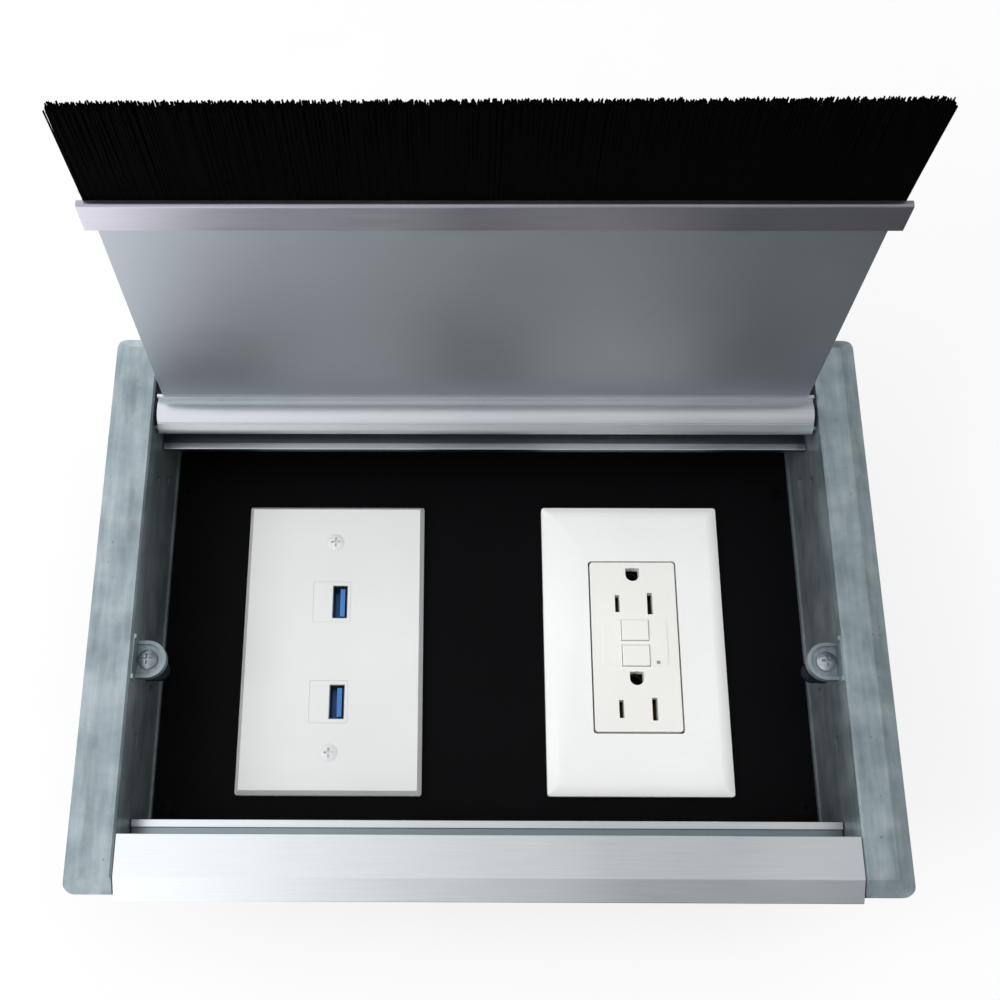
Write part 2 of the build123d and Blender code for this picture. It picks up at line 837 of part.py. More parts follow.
# Tub: a folded floor with its front and rear walls, and an end plate spot-welded in at each side
rear_wall_face = Plane(origin=(0, tub_half_length, 0), x_dir=(-1, 0, 0), z_dir=(0, 1, 0))
tub_screw_z = panel_top - tub_screw_drop
panel_screw_x = tub_half_width - tub_flange / 2
panel_screw_points = [(x, y) for x in (-panel_screw_x, panel_screw_x) for y in (panel_screw_front, panel_screw_rear)]
power_knockout_xs = [share * tub_half_width for share in power_knockout_shares]
data_entry_x = -data_entry_share * tub_half_width
ground_screw_x = tub_half_width - ground_screw_inset
end_face = tub_half_width - tub_sheet
end_tab_length = 2 * (tub_half_length - tub_sheet - tub_corner_relief)


def tub_end_outline():
    """Outline of the tub seen from its end, drawn into the current sketch, round where the sheet is folded."""
    outline = Rectangle(2 * tub_half_length, tub_depth, align=(Align.CENTER, Align.MIN))
    fillet(outline.vertices().group_by(Axis.Y)[0], fold_radius)


with BuildPart() as tub:
    with BuildSketch(Plane.YZ) as fold_section:
        tub_end_outline()
        with Locations((0, tub_sheet)):
            Rectangle(
                2 * (tub_half_length - tub_sheet), tub_depth, align=(Align.CENTER, Align.MIN), mode=Mode.SUBTRACT
            )
    extrude(amount=end_face, both=True)
    with BuildSketch(Plane.XY.offset(tub_depth)):
        for side in (-1, 1):
            with Locations((0, side * (tub_half_length - tub_flange / 2))):
                Rectangle(2 * (end_face - tub_flange - tub_corner_relief), tub_flange)
    extrude(amount=-tub_sheet)
    # Knock-outs, each held by two tabs, and the open entry for the data leads
    with BuildSketch(rear_wall_face):
        with Locations(*[(-x, knockout_height) for x in power_knockout_xs]):
            Circle(knockout_radius)
            Circle(knockout_radius - knockout_slit, mode=Mode.SUBTRACT)
            Rectangle(3 * knockout_radius, knockout_tab, mode=Mode.SUBTRACT)
        with Locations((-data_entry_x, knockout_height)):
            Circle(knockout_radius)
    extrude(amount=-tub_sheet, mode=Mode.SUBTRACT)
    # Boss for the green ground screw
    with BuildSketch(rear_wall_face.offset(-tub_sheet / 2)):
        with Locations((-ground_screw_x, ground_screw_height)):
            Circle(tub_collar_radius)
    extrude(amount=-tub_collar_length)
    with BuildSketch(rear_wall_face):
        with Locations((-ground_screw_x, ground_screw_height)):
            Circle(device_thread_radius + running_gap)
    extrude(amount=-tub_sheet - tub_collar_length, mode=Mode.SUBTRACT)

with BuildPart() as tub_end_right:
    with BuildSketch(Plane.YZ.offset(tub_half_width)):
        tub_end_outline()
    extrude(amount=-tub_sheet)
    # Weld tabs inside the floor and both walls, and the flange that the black panel lies on
    with BuildSketch(Plane.YZ.offset(end_face)):
        with Locations((0, tub_sheet)):
            Rectangle(end_tab_length, tub_sheet, align=(Align.CENTER, Align.MIN))
        with Locations((0, tub_depth)):
            Rectangle(end_tab_length, tub_sheet, align=(Align.CENTER, Align.MAX))
        for side in (-1, 1):
            with Locations((side * (tub_half_length - 1.5 * tub_sheet), tub_depth / 2)):
                Rectangle(tub_sheet, tub_depth - 2 * tub_flange)
    extrude(amount=-tub_flange)
    # Pressed collars for the side screws and the panel screws
    side_points = [(y, tub_screw_z) for y in (-tub_screw_y, tub_screw_y)]
    with BuildSketch(Plane.YZ.offset(tub_half_width - tub_sheet / 2)):
        with Locations(*side_points):
            Circle(tub_collar_radius)
    extrude(amount=-tub_collar_length)
    with BuildSketch(Plane.YZ.offset(tub_half_width)):
        with Locations(*side_points):
            Circle(device_thread_radius + running_gap)
    extrude(amount=-tub_sheet - tub_collar_length, mode=Mode.SUBTRACT)
    flange_points = [point for point in panel_screw_points if point[0] > 0]
    with BuildSketch(Plane.XY.offset(tub_depth - tub_sheet / 2)):
        with Locations(*flange_points):
            Circle(tub_collar_radius)
    extrude(amount=-tub_collar_length)
    with BuildSketch(Plane.XY.offset(tub_depth)):
        with Locations(*flange_points):
            Circle(panel_thread_radius + running_gap)
    extrude(amount=-tub_sheet - tub_collar_length, mode=Mode.SUBTRACT)

tub_end_left = mirrored(tub_end_right)

tub_screws = pan_screws(
    [
        Plane(origin=(side * wall_outer, y, tub_screw_z), x_dir=(0, 1, 0), z_dir=(side, 0, 0))
        for side in (-1, 1)
        for y in (-tub_screw_y, tub_screw_y)
    ],
    device_thread_radius,
    tub_screw_length,
    tub_head_radius,
    tub_head_height,
)
ground_seat = tub_half_length - tub_sheet / 2 - tub_collar_length
ground_screw = pan_screws(
    [Plane(origin=(ground_screw_x, ground_seat, ground_screw_height), x_dir=(1, 0, 0), z_dir=(0, -1, 0))],
    device_thread_radius,
    tub_collar_length,
    ground_head_radius,
    ground_head_height,
)

with BuildPart() as entry_bushing:
    entry_outside = rear_wall_face
    with BuildSketch(entry_outside):
        with Locations((-data_entry_x, knockout_height)):
            Circle(bushing_flange_radius)
    extrude(amount=bushing_flange_thickness, taper=12)
    with BuildSketch(entry_outside):
        with Locations((-data_entry_x, knockout_height)):
            Circle(knockout_radius - screw_hole_gap)
    extrude(amount=-tub_sheet - 4 * bushing_hook)
    with BuildSketch(entry_outside.offset(-tub_sheet)):
        with Locations((-data_entry_x, knockout_height)):
            Circle(knockout_radius + bushing_hook)
    extrude(amount=-3 * bushing_hook, taper=20)
    with BuildSketch(entry_outside.offset(bushing_flange_thickness)):
        with Locations((-data_entry_x, knockout_height)):
            Circle(bushing_bore)
    extrude(amount=-bushing_flange_thickness - tub_sheet - 4 * bushing_hook, mode=Mode.SUBTRACT)

# Sheet wall between the mains side and the data side, notched round the tub's flanges
with BuildPart() as divider:
    divider_length = 2 * (tub_half_length - tub_sheet - divider_end_gap)
    divider_height = tub_depth - tub_sheet - divider_end_gap
    with BuildSketch(Plane.YZ):
        with Locations((0, tub_sheet)):
            Rectangle(divider_length, divider_height, align=(Align.CENTER, Align.MIN))
        for side in (-1, 1):
            with Locations((side * tub_half_length, tub_depth)):
                Rectangle(2 * (tub_flange + divider_end_gap), 2 * (tub_sheet + divider_end_gap), mode=Mode.SUBTRACT)
    extrude(amount=divider_sheet / 2, both=True)
    with BuildSketch(Plane.XY.offset(tub_sheet)):
        with Locations((-divider_sheet / 2, 0)):
            Rectangle(divider_foot, divider_length, align=(Align.MIN, Align.CENTER))
    extrude(amount=divider_sheet)

# Black panel that carries both wall plates
device_screw_points = [(0, -device_screw_spacing / 2), (0, device_screw_spacing / 2)]
with BuildPart() as mounting_panel:
    with BuildSketch(Plane.XY.offset(tub_depth)):
        Rectangle(2 * (wall_inner - panel_edge_gap), 2 * (web_inner - panel_edge_gap))
    extrude(amount=panel_thickness)
    for x in (data_x, power_x):
        with BuildSketch(Plane.XY.offset(tub_depth)):
            with Locations((x, devices_y)):
                with Locations(*device_screw_points):
                    Circle(collar_radius)
        extrude(amount=-collar_length)
        with BuildSketch(Plane.XY.offset(panel_top)):
            with Locations((x, devices_y)):
                RectangleRounded(device_opening_width, device_opening_length, 2 * fold_radius)
                with Locations(*device_screw_points):
                    Circle(device_thread_radius + running_gap)
                if x == power_x:
                    with GridLocations(1, cover_screw_spacing, 1, 2):
                        Circle(device_thread_radius + 2 * clamp_hole_gap)
        extrude(amount=-panel_thickness - collar_length, mode=Mode.SUBTRACT)
    with Locations(Plane.XY.offset(panel_top)):
        with Locations(*panel_screw_points):
            CounterSinkHole(
                panel_thread_radius + running_gap,
                panel_head_radius,
                depth=panel_thickness,
                counter_sink_angle=countersink,
            )
panel_screws = flat_screws(
    [at(x, y, panel_top) for x, y in panel_screw_points],
    panel_thread_radius,
    panel_screw_length,
    panel_head_radius - head_clearance,
)


def plate_shell(x, bevel_width, bevel_drop, skin):
    """A wall plate's outer form: bevelled rim, hollow behind, standing on the black panel."""
    with BuildSketch(Plane.XY.offset(panel_top)) as square_outline:
        with Locations((x, devices_y)):
            Rectangle(plate_width, plate_length)
    extrude(square_outline.sketch, amount=plate_height)
    top_face = faces().sort_by(Axis.Z)[-1]
    chamfer(top_face.edges(), length=bevel_width, length2=bevel_drop, reference=top_face)
    with BuildSketch(Plane.XY.offset(panel_top)) as rounded_outline:
        with Locations((x, devices_y)):
            RectangleRounded(plate_width, plate_length, plate_corner)
    extrude(rounded_outline.sketch, amount=plate_height, mode=Mode.INTERSECT)
    with BuildSketch(Plane.XY.offset(panel_top)) as hollow_outline:
        with Locations((x, devices_y)):
            Rectangle(plate_width - 2 * plate_wall, plate_length - 2 * plate_wall)
    extrude(hollow_outline.sketch, amount=plate_height - skin, mode=Mode.SUBTRACT)


# Data plate with two bevelled screws
with BuildPart() as usb_wall_plate:
    plate_shell(data_x, data_bevel_width, data_bevel_drop, data_skin)
    with BuildSketch(Plane.XY.offset(panel_top)):
        with Locations((data_x, devices_y)):
            with Locations(*device_screw_points):
                Circle(data_boss_radius)
    extrude(amount=plate_height - data_skin)
    with Locations(Plane.XY.offset(plate_top)):
        with Locations((data_x, devices_y)):
            with Locations(*device_screw_points):
                CounterSinkHole(
                    device_thread_radius + screw_hole_gap,
                    data_head_radius,
                    depth=plate_height,
                    counter_sink_angle=countersink,
                )
    with BuildSketch(Plane.XY.offset(plate_top)):
        with Locations((data_x + insert_shift, ports_y)):
            with GridLocations(insert_width, port_spacing, 1, 2):
                Rectangle(insert_width + 2 * insert_gap, insert_length + 2 * insert_gap)
    extrude(amount=-data_skin, mode=Mode.SUBTRACT)

usb_plate_screws = flat_screws(
    [at(data_x, devices_y + y, plate_top) for x, y in device_screw_points],
    device_thread_radius,
    data_screw_length,
    data_head_radius - head_clearance,
    dome=data_head_dome,
)


coupler_ends = [Plane.XY.offset(plate_top), Plane.XY.offset(plate_top - insert_depth)]
coupler_ys = [ports_y - port_spacing / 2, ports_y + port_spacing / 2]


def coupler(y):
    """One snap-in coupler: a port in front, another behind, and a shoulder under the plate."""
    with BuildPart() as body:
        with BuildSketch(Plane.XY.offset(plate_top)):
            with Locations((data_x + insert_shift, y)):
                Rectangle(insert_width, insert_length)
        extrude(amount=-insert_depth)
        with BuildSketch(Plane.XY.offset(plate_top - data_skin)):
            with Locations((data_x + insert_shift, y)):
                Rectangle(insert_width + 2 * insert_shoulder, insert_length + 2 * insert_shoulder)
        extrude(amount=-insert_shoulder_height, taper=8)
        for end_plane in coupler_ends:
            with BuildSketch(end_plane):
                with Locations((data_x + port_shift, y)):
                    Rectangle(shell_width + 2 * shell_gap, shell_length + 2 * shell_gap)
            inward = -1 if end_plane.origin.Z > panel_top else 1
            extrude(amount=inward * (shell_recess + shell_depth), mode=Mode.SUBTRACT)
    return body


usb_insert_front = coupler(coupler_ys[0])
usb_insert_rear = coupler(coupler_ys[1])
port_x = data_x + port_shift

with BuildPart() as usb_port_shells:
    for y in coupler_ys:
        for base in (plate_top - shell_recess - shell_depth, plate_top - insert_depth + shell_recess):
            with BuildSketch(Plane.XY.offset(base)):
                with Locations((port_x, y)):
                    Rectangle(shell_width, shell_length)
                    Rectangle(shell_width - 2 * shell_sheet, shell_length - 2 * shell_sheet, mode=Mode.SUBTRACT)
            extrude(amount=shell_depth)

with BuildPart() as usb_tongues:
    for y in coupler_ys:
        for root, outward in (
            (plate_top - shell_recess - shell_depth, 1),
            (plate_top - insert_depth + shell_recess + shell_depth, -1),
        ):
            with BuildSketch(Plane.XY.offset(root)):
                with Locations((port_x, y)):
                    Rectangle(shell_width - 2 * shell_sheet, shell_length - 2 * shell_sheet)
            extrude(amount=outward * tongue_base)
            with BuildSketch(Plane.XY.offset(root)):
                with Locations((port_x + tongue_shift, y)):
                    Rectangle(tongue_width, tongue_length)
            extrude(amount=outward * (tongue_base + tongue_depth))

with BuildPart() as usb_contacts:
    tongue_face = port_x + tongue_shift - tongue_width / 2
    for y in coupler_ys:
        tongue_tip = plate_top - shell_recess - shell_depth + tongue_base + tongue_depth
        for count, pitch, length, back in (
            (4, 2.4, contact_long, contact_long_back),
            (5, 2.1, contact_short, contact_short_back),
        ):
            with Locations((tongue_face, y, tongue_tip - back)):
                with Locations(*[(0, (i - (count - 1) / 2) * pitch, 0) for i in range(count)]):
                    Box(
                        contact_thickness,
                        contact_width,
                        length,
                        align=(Align.MAX, Align.CENTER, Align.MAX),
                    )


# Receptacle: face, yoke, body, contacts and the two buttons
def power_point(x, y):
    return (power_x + x, devices_y + y)


ground_points = [power_point(0, row + ground_rise) for row in blade_rows]
line_points = [power_point(-blade_spacing / 2, row) for row in blade_rows]
neutral_points = [power_point(blade_spacing / 2, row) for row in blade_rows]
button_points = {name: power_point(0, y) for name, y in button_places.items()}
opening_width = button_width + 2 * button_gap
opening_length = button_length + 2 * button_gap


def ground_outline():
    """Ground hole: flat towards the hinge, round towards the blades."""
    with Locations((0, (ground_width - ground_height) / 2)):
        Circle(ground_width / 2)
    with Locations((0, ground_height / 2)):
        Rectangle(ground_width, ground_height - ground_width / 2, align=(Align.CENTER, Align.MAX))


with BuildPart() as receptacle_face:
    with BuildSketch(Plane.XY.offset(yoke_top)):
        with Locations(power_point(0, 0)):
            RectangleRounded(face_width, face_length, plate_corner)
    extrude(amount=face_top - yoke_top)
    fillet(receptacle_face.edges().group_by(Axis.Z)[-1], face_rise / 2)
    with BuildSketch(Plane.XY.offset(face_top)):
        with Locations(power_point(0, pad_y)):
            RectangleRounded(pad_width, pad_length, 2 * plate_corner)
    extrude(amount=pad_rise)
    with BuildSketch(Plane.XY.offset(pad_top)):
        for points, (width, length) in ((line_points, line_slot), (neutral_points, neutral_slot)):
            with Locations(*points):
                Rectangle(width, length)
        with Locations(*ground_points):
            ground_outline()
        with Locations(*button_points.values()):
            Rectangle(opening_width, opening_length)
        with Locations(power_point(*lens_place)):
            Rectangle(lens_side + 2 * lens_gap, lens_side + 2 * lens_gap)
    extrude(amount=yoke_top - pad_top, mode=Mode.SUBTRACT)

with BuildPart() as receptacle_yoke:
    with BuildSketch(Plane.XY.offset(panel_top)) as yoke_plan:
        with Locations(power_point(0, 0)):
            Rectangle(yoke_width, body_length)
            RectangleRounded(yoke_end_width, yoke_length, 2 * plate_corner)
            with Locations(*device_screw_points):
                SlotOverall(yoke_slot_length, 2 * (device_thread_radius + clamp_hole_gap), mode=Mode.SUBTRACT)
            with GridLocations(1, cover_screw_spacing, 1, 2):
                Circle(device_thread_radius + running_gap, mode=Mode.SUBTRACT)
        for row in blade_rows:
            with Locations(power_point(0, row + contact_window_shift)):
                Rectangle(contact_window_width, contact_window_length, mode=Mode.SUBTRACT)
        with Locations(power_point(0, pad_y)):
            Rectangle(button_well_width, button_well_length, mode=Mode.SUBTRACT)
    extrude(amount=yoke_thickness)

pocket_width = 2 * (line_slot[0] / 2 + contact_sheet + contact_pocket_margin)
with BuildPart() as receptacle_body:
    with BuildSketch(Plane.XY.offset(panel_top)):
        with Locations(power_point(0, 0)):
            RectangleRounded(body_width, body_length, plate_corner)
    extrude(amount=-body_step)
    with BuildSketch(Plane.XY.offset(panel_top - body_step)):
        with Locations(power_point(0, 0)):
            RectangleRounded(body_width - 2 * body_inset, body_length - 2 * body_inset, plate_corner)
    extrude(amount=body_step - body_depth, taper=2)
    with BuildSketch(Plane.XY.offset(panel_top)):
        with Locations(*line_points, *neutral_points):
            Rectangle(pocket_width, neutral_slot[1] + contact_pocket_margin)
        with Locations(*ground_points):
            Circle(ground_width / 2 + contact_sheet + contact_pocket_margin / 2)
    extrude(amount=-contact_pocket_depth, mode=Mode.SUBTRACT)
    with BuildSketch(Plane.XY.offset(panel_top)):
        with Locations(power_point(0, pad_y)):
            Rectangle(button_well_width, button_well_length)
    extrude(amount=-button_well_depth, mode=Mode.SUBTRACT)
    # Recesses in the sides for the terminal screws
    for side, offsets in ((-1, [*wire_terminal_ys, ground_terminal_y]), (1, wire_terminal_ys)):
        terminal_points = [(devices_y + y, terminal_z) for y in offsets]
        with BuildSketch(Plane.YZ.offset(power_x + side * body_width / 2)):
            with Locations(*terminal_points):
                Rectangle(terminal_recess_width, terminal_recess_width)
        extrude(amount=-side * terminal_recess, mode=Mode.SUBTRACT)
        with BuildSketch(Plane.YZ.offset(power_x + side * (body_width / 2 - terminal_recess))):
            with Locations(*terminal_points):
                Circle(device_thread_radius + running_gap)
        extrude(amount=-side * terminal_screw_length, mode=Mode.SUBTRACT)


def blade_contacts(points, slot_width):
    """Spring contacts with two leaves, one under each blade slot."""
    with BuildPart() as contacts:
        with BuildSketch(Plane.XY.offset(panel_top - contact_pocket_depth)):
            with Locations(*points):
                Rectangle(slot_width + 2 * contact_sheet, line_slot[1])
        extrude(amount=contact_depth)
        with BuildSketch(Plane.XY.offset(panel_top - contact_pocket_depth + contact_sheet)):
            with Locations(*points):
                Rectangle(slot_width * 0.8, neutral_slot[1])
        extrude(amount=contact_depth, mode=Mode.SUBTRACT)
    return contacts


line_contacts = blade_contacts(line_points, line_slot[0])
neutral_contacts = blade_contacts(neutral_points, neutral_slot[0])
with BuildPart() as ground_contacts:
    with BuildSketch(Plane.XY.offset(panel_top - contact_pocket_depth)):
        with Locations(*ground_points):
            Circle(ground_width / 2 + contact_sheet)
            Circle(ground_width / 2, mode=Mode.SUBTRACT)
            Rectangle(3 * ground_width, contact_sheet, mode=Mode.SUBTRACT)
    extrude(amount=contact_depth)


def side_terminals(side, offsets):
    """Binding screws that lie in the recesses on one side of the body."""
    places = [
        Plane(
            origin=(power_x + side * (body_width / 2 - terminal_recess), devices_y + y, terminal_z),
            x_dir=(0, 1, 0),
            z_dir=(side, 0, 0),
        )
        for y in offsets
    ]
    return pan_screws(places, device_thread_radius, terminal_screw_length, terminal_head_radius, terminal_head_height)


line_terminal_screws = side_terminals(-1, wire_terminal_ys)
neutral_terminal_screws = side_terminals(1, wire_terminal_ys)
ground_terminal_screw = side_terminals(-1, [ground_terminal_y])

yoke_screws = pan_screws(
    [at(power_x, devices_y + y, yoke_top) for x, y in device_screw_points],
    device_thread_radius,
    yoke_screw_length,
    yoke_head_radius,
    subplate_thickness - screw_hole_gap,
)


def push_button(place):
    """A cap that stands out of the face, a flange that holds it in, and a stem."""
    with BuildPart() as button:
        with BuildSketch(Plane.XY.offset(yoke_top)):
            with Locations(place):
                Rectangle(button_width, button_length)
        extrude(amount=pad_top + button_rise - yoke_top)
        fillet(button.edges().group_by(Axis.Z)[-1], button_rise / 2)
        with BuildSketch(Plane.XY.offset(yoke_top)):
            with Locations(place):
                Rectangle(button_width + 2 * button_flange, button_length)
        extrude(amount=-button_flange)
        with BuildSketch(Plane.XY.offset(yoke_top)):
            with Locations(place):
                Rectangle(button_stem, button_stem)
        extrude(amount=-yoke_thickness - button_stem)
    return button


test_button = push_button(button_points["test"])
reset_button = push_button(button_points["reset"])

with BuildPart() as indicator_lens:
    with BuildSketch(Plane.XY.offset(yoke_top)):
        with Locations(power_point(*lens_place)):
            Rectangle(lens_side, lens_side)
    extrude(amount=pad_top + lens_rise - yoke_top)

# Screwless cover: a sub-plate screwed to the yoke, and the bevelled plate that snaps over it
with BuildPart() as cover_subplate:
    subplate_width = plate_width - 2 * (plate_wall + subplate_gap)
    subplate_length = plate_length - 2 * (plate_wall + subplate_gap)
    with BuildSketch(Plane.XY.offset(panel_top)):
        with Locations(power_point(0, 0)):
            Rectangle(subplate_width, subplate_length)
            Rectangle(subplate_width - 2 * subplate_rim, subplate_length - 2 * subplate_rim, mode=Mode.SUBTRACT)
    extrude(amount=yoke_thickness)
    with BuildSketch(Plane.XY.offset(yoke_top)):
        with Locations(power_point(0, 0)):
            Rectangle(subplate_width, subplate_length)
            Rectangle(face_width + 2 * face_gap, face_length + 2 * face_gap, mode=Mode.SUBTRACT)
            with Locations(*device_screw_points):
                Circle(yoke_head_radius + 3 * screw_hole_gap, mode=Mode.SUBTRACT)
    extrude(amount=subplate_thickness)
    with Locations(Plane.XY.offset(yoke_top + subplate_thickness)):
        with Locations(power_point(0, 0)):
            with GridLocations(1, cover_screw_spacing, 1, 2):
                CounterSinkHole(
                    device_thread_radius + screw_hole_gap,
                    cover_head_radius,
                    depth=subplate_thickness,
                    counter_sink_angle=countersink,
                )
subplate_screws = flat_screws(
    [
        at(power_x, devices_y + side * cover_screw_spacing / 2, yoke_top + subplate_thickness)
        for side in (-1, 1)
    ],
    device_thread_radius,
    cover_screw_length,
    cover_head_radius - head_clearance,
)
with BuildPart() as cover_plate:
    plate_shell(
        power_x, cover_bevel_width, cover_bevel_drop, plate_height - yoke_thickness - subplate_thickness
    )
    with BuildSketch(Plane.XY.offset(panel_top)):
        with Locations(power_point(0, 0)):
            RectangleRounded(face_width + 2 * face_gap, face_length + 2 * face_gap, plate_corner)
    extrude(amount=plate_height, mode=Mode.SUBTRACT)

pieces = {
    "side_casting_left": side_casting_left,
    "side_casting_right": side_casting_right,
    "front_rail": front_rail,
    "rear_rail": rear_rail,
    "rail_screws": rail_screws,
    "hinge_pins": hinge_pins,
    "hinge_bushes": hinge_bushes,
    "hinge_barrel": hinge_barrel,
    "lid_plate": lid_plate,
    "lid_screws": lid_screws,
    "brush_channel": brush_channel,
    "channel_screws": channel_screws,
    "brush_spine": brush_spine,
    "brush_bristles": brush_bristles,
    "clamp_screw_left": clamp_screw_left,
    "clamp_screw_right": clamp_screw_right,
    "clamp_clip_left": clamp_clip_left,
    "clamp_clip_right": clamp_clip_right,
    "clamp_strap_left": clamp_strap_left,
    "clamp_strap_right": clamp_strap_right,
    "tub": tub,
    "tub_end_left": tub_end_left,
    "tub_end_right": tub_end_right,
    "tub_screws": tub_screws,
    "divider": divider,
    "entry_bushing": entry_bushing,
    "ground_screw": ground_screw,
    "mounting_panel": mounting_panel,
    "panel_screws": panel_screws,
    "usb_wall_plate": usb_wall_plate,
    "usb_plate_screws": usb_plate_screws,
    "usb_insert_front": usb_insert_front,
    "usb_insert_rear": usb_insert_rear,
    "usb_port_shells": usb_port_shells,
    "usb_tongues": usb_tongues,
    "usb_contacts": usb_contacts,
    "cover_plate": cover_plate,
    "cover_subplate": cover_subplate,
    "subplate_screws": subplate_screws,
    "receptacle_face": receptacle_face,
    "receptacle_yoke": receptacle_yoke,
    "yoke_screws": yoke_screws,
    "receptacle_body": receptacle_body,
    "line_contacts": line_contacts,
    "neutral_contacts": neutral_contacts,
    "ground_contacts": ground_contacts,
    "line_terminal_screws": line_terminal_screws,
    "neutral_terminal_screws": neutral_terminal_screws,
    "ground_terminal_screw": ground_terminal_screw,
    "indicator_lens": indicator_lens,
    "test_button": test_button,
    "reset_button": reset_button,
}
for name, piece in pieces.items():
    piece.part.label = name
    export_step(piece.part, f"parts/{name}.step")
print(len(pieces), "pieces written")
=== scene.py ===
# %% [markdown]
# # A flip-lid socket box for a desk
# The box is let into a desk top. Its lid stands open and shows a black well with two wall plates,
# one for data and one for mains power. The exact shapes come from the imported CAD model, which is
# loaded first and never changed. This lesson gives each piece its finish, rounds the edges that
# catch the light, and models the one soft piece, the brush on the lid's free edge.

import json
import math
import random

import bpy
import numpy as np
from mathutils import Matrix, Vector

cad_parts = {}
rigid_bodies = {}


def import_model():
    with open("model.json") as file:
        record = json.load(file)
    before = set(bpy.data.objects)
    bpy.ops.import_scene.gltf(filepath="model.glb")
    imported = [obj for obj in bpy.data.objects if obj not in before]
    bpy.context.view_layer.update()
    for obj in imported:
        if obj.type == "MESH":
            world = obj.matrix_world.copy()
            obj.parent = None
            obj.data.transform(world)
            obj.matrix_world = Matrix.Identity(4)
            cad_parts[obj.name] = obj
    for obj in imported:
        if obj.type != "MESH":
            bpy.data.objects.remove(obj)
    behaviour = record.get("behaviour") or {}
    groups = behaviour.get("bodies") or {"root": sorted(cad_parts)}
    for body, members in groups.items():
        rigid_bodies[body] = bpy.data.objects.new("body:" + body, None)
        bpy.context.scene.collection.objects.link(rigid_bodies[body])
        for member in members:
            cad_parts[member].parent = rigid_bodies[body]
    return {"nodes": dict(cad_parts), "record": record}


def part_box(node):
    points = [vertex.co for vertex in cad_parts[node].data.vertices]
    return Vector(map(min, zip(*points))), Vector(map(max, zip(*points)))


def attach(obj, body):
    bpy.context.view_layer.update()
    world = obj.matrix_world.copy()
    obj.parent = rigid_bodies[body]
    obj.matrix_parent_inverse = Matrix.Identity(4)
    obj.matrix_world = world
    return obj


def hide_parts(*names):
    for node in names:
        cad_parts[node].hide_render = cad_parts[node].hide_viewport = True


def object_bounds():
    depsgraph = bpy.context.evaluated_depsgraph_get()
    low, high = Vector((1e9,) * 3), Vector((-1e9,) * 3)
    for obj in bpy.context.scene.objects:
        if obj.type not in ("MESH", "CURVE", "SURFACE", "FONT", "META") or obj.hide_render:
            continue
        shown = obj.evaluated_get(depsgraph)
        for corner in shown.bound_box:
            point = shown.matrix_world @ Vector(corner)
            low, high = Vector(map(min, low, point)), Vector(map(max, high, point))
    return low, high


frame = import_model()
nodes = frame["nodes"]
cad_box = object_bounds()
mm = 0.001

# %% [markdown]
# ## Small helpers
# Paint charts and screens give colours as sRGB hex codes, while Blender's sockets want linear
# light, so one function turns one into the other. A second function adds any node to a material
# with its settings and links, which keeps each finish below readable as a short recipe.

# %% Colour and node helpers
def linear(code):
    """An sRGB hex colour as linear red, green, blue and alpha."""
    parts = [int(code[i : i + 2], 16) / 255 for i in (1, 3, 5)]
    return [c / 12.92 if c <= 0.04045 else ((c + 0.055) / 1.055) ** 2.4 for c in parts] + [1.0]


def add(tree, kind, inputs=None, **settings):
    """One node in a tree. An input is a value or another node's output."""
    node = tree.nodes.new(kind)
    for name, value in settings.items():
        setattr(node, name, value)
    for key, value in (inputs or {}).items():
        if isinstance(value, bpy.types.NodeSocket):
            tree.links.new(value, node.inputs[key])
        else:
            node.inputs[key].default_value = value
    return node


def new_finish(name):
    """An empty material, its tree, and the place on the object that its patterns read."""
    material = bpy.data.materials.new(name)
    material.use_nodes = True
    material.node_tree.nodes.clear()
    place = add(material.node_tree, "ShaderNodeTexCoord").outputs["Object"]
    return material, material.node_tree, place


def finish_with(tree, **inputs):
    """The surface shader that ends a finish. Underscores in the names stand for spaces."""
    named = {key.replace("_", " "): value for key, value in inputs.items()}
    shader = add(tree, "ShaderNodeBsdfPrincipled", named)
    add(tree, "ShaderNodeOutputMaterial", {"Surface": shader.outputs[0]})


def per_metre(size_mm):
    """Noise scale that gives features of about this size."""
    return 1 / (size_mm * mm)


# %% [markdown]
# ## Camera
# The camera looks 71 degrees down from in front of the box, close enough for strong perspective:
# the walls of the well lean outwards in the picture and the open lid spreads towards its free
# edge. The lens and the place were fitted to the edges of the wall plates, the frame and the lid.

# %% Camera
camera_place = (-0.01126, -0.11782, 0.52259)
camera_turns = (19.004, 0.351, 0.258)

bpy.ops.object.camera_add(location=camera_place)
camera = bpy.context.active_object
camera.name = "camera"
camera.rotation_euler = [math.radians(turn) for turn in camera_turns]
camera.data.sensor_width = 36.0
camera.data.lens = 43.728
camera.data.shift_x = 0.0539
camera.data.shift_y = 0.0234
camera.data.clip_start = 0.01
bpy.context.scene.camera = camera
print("camera looks down by", round(90 - camera_turns[0]), "degrees, lens", round(camera.data.lens, 1))

# %% [markdown]
# ## Floor, sky and lamps
# Metal shows what is round it, so the sky matters more than the lamps here. It is bright on the
# left, as by a large window, dim over the middle and a little lighter again at the far right. To
# the right it also dims towards the horizon. That is what makes the lid and the rails fade from
# light to grey. The camera sees plain white instead. The floor is pale paper. For the camera three
# quarters of it is a glow, so that it comes out near white and still keeps the object's soft
# shadow. In reflections it is all glow, painted light that falls off from the left to the middle.

# %% Floor
floor_size = 8.0
floor_gap = 0.2 * mm
glow_share = 0.75
lit_end = {"From Min": -0.28, "To Min": 2.9}
dim_end = {"From Max": -0.06, "To Max": 0.12}

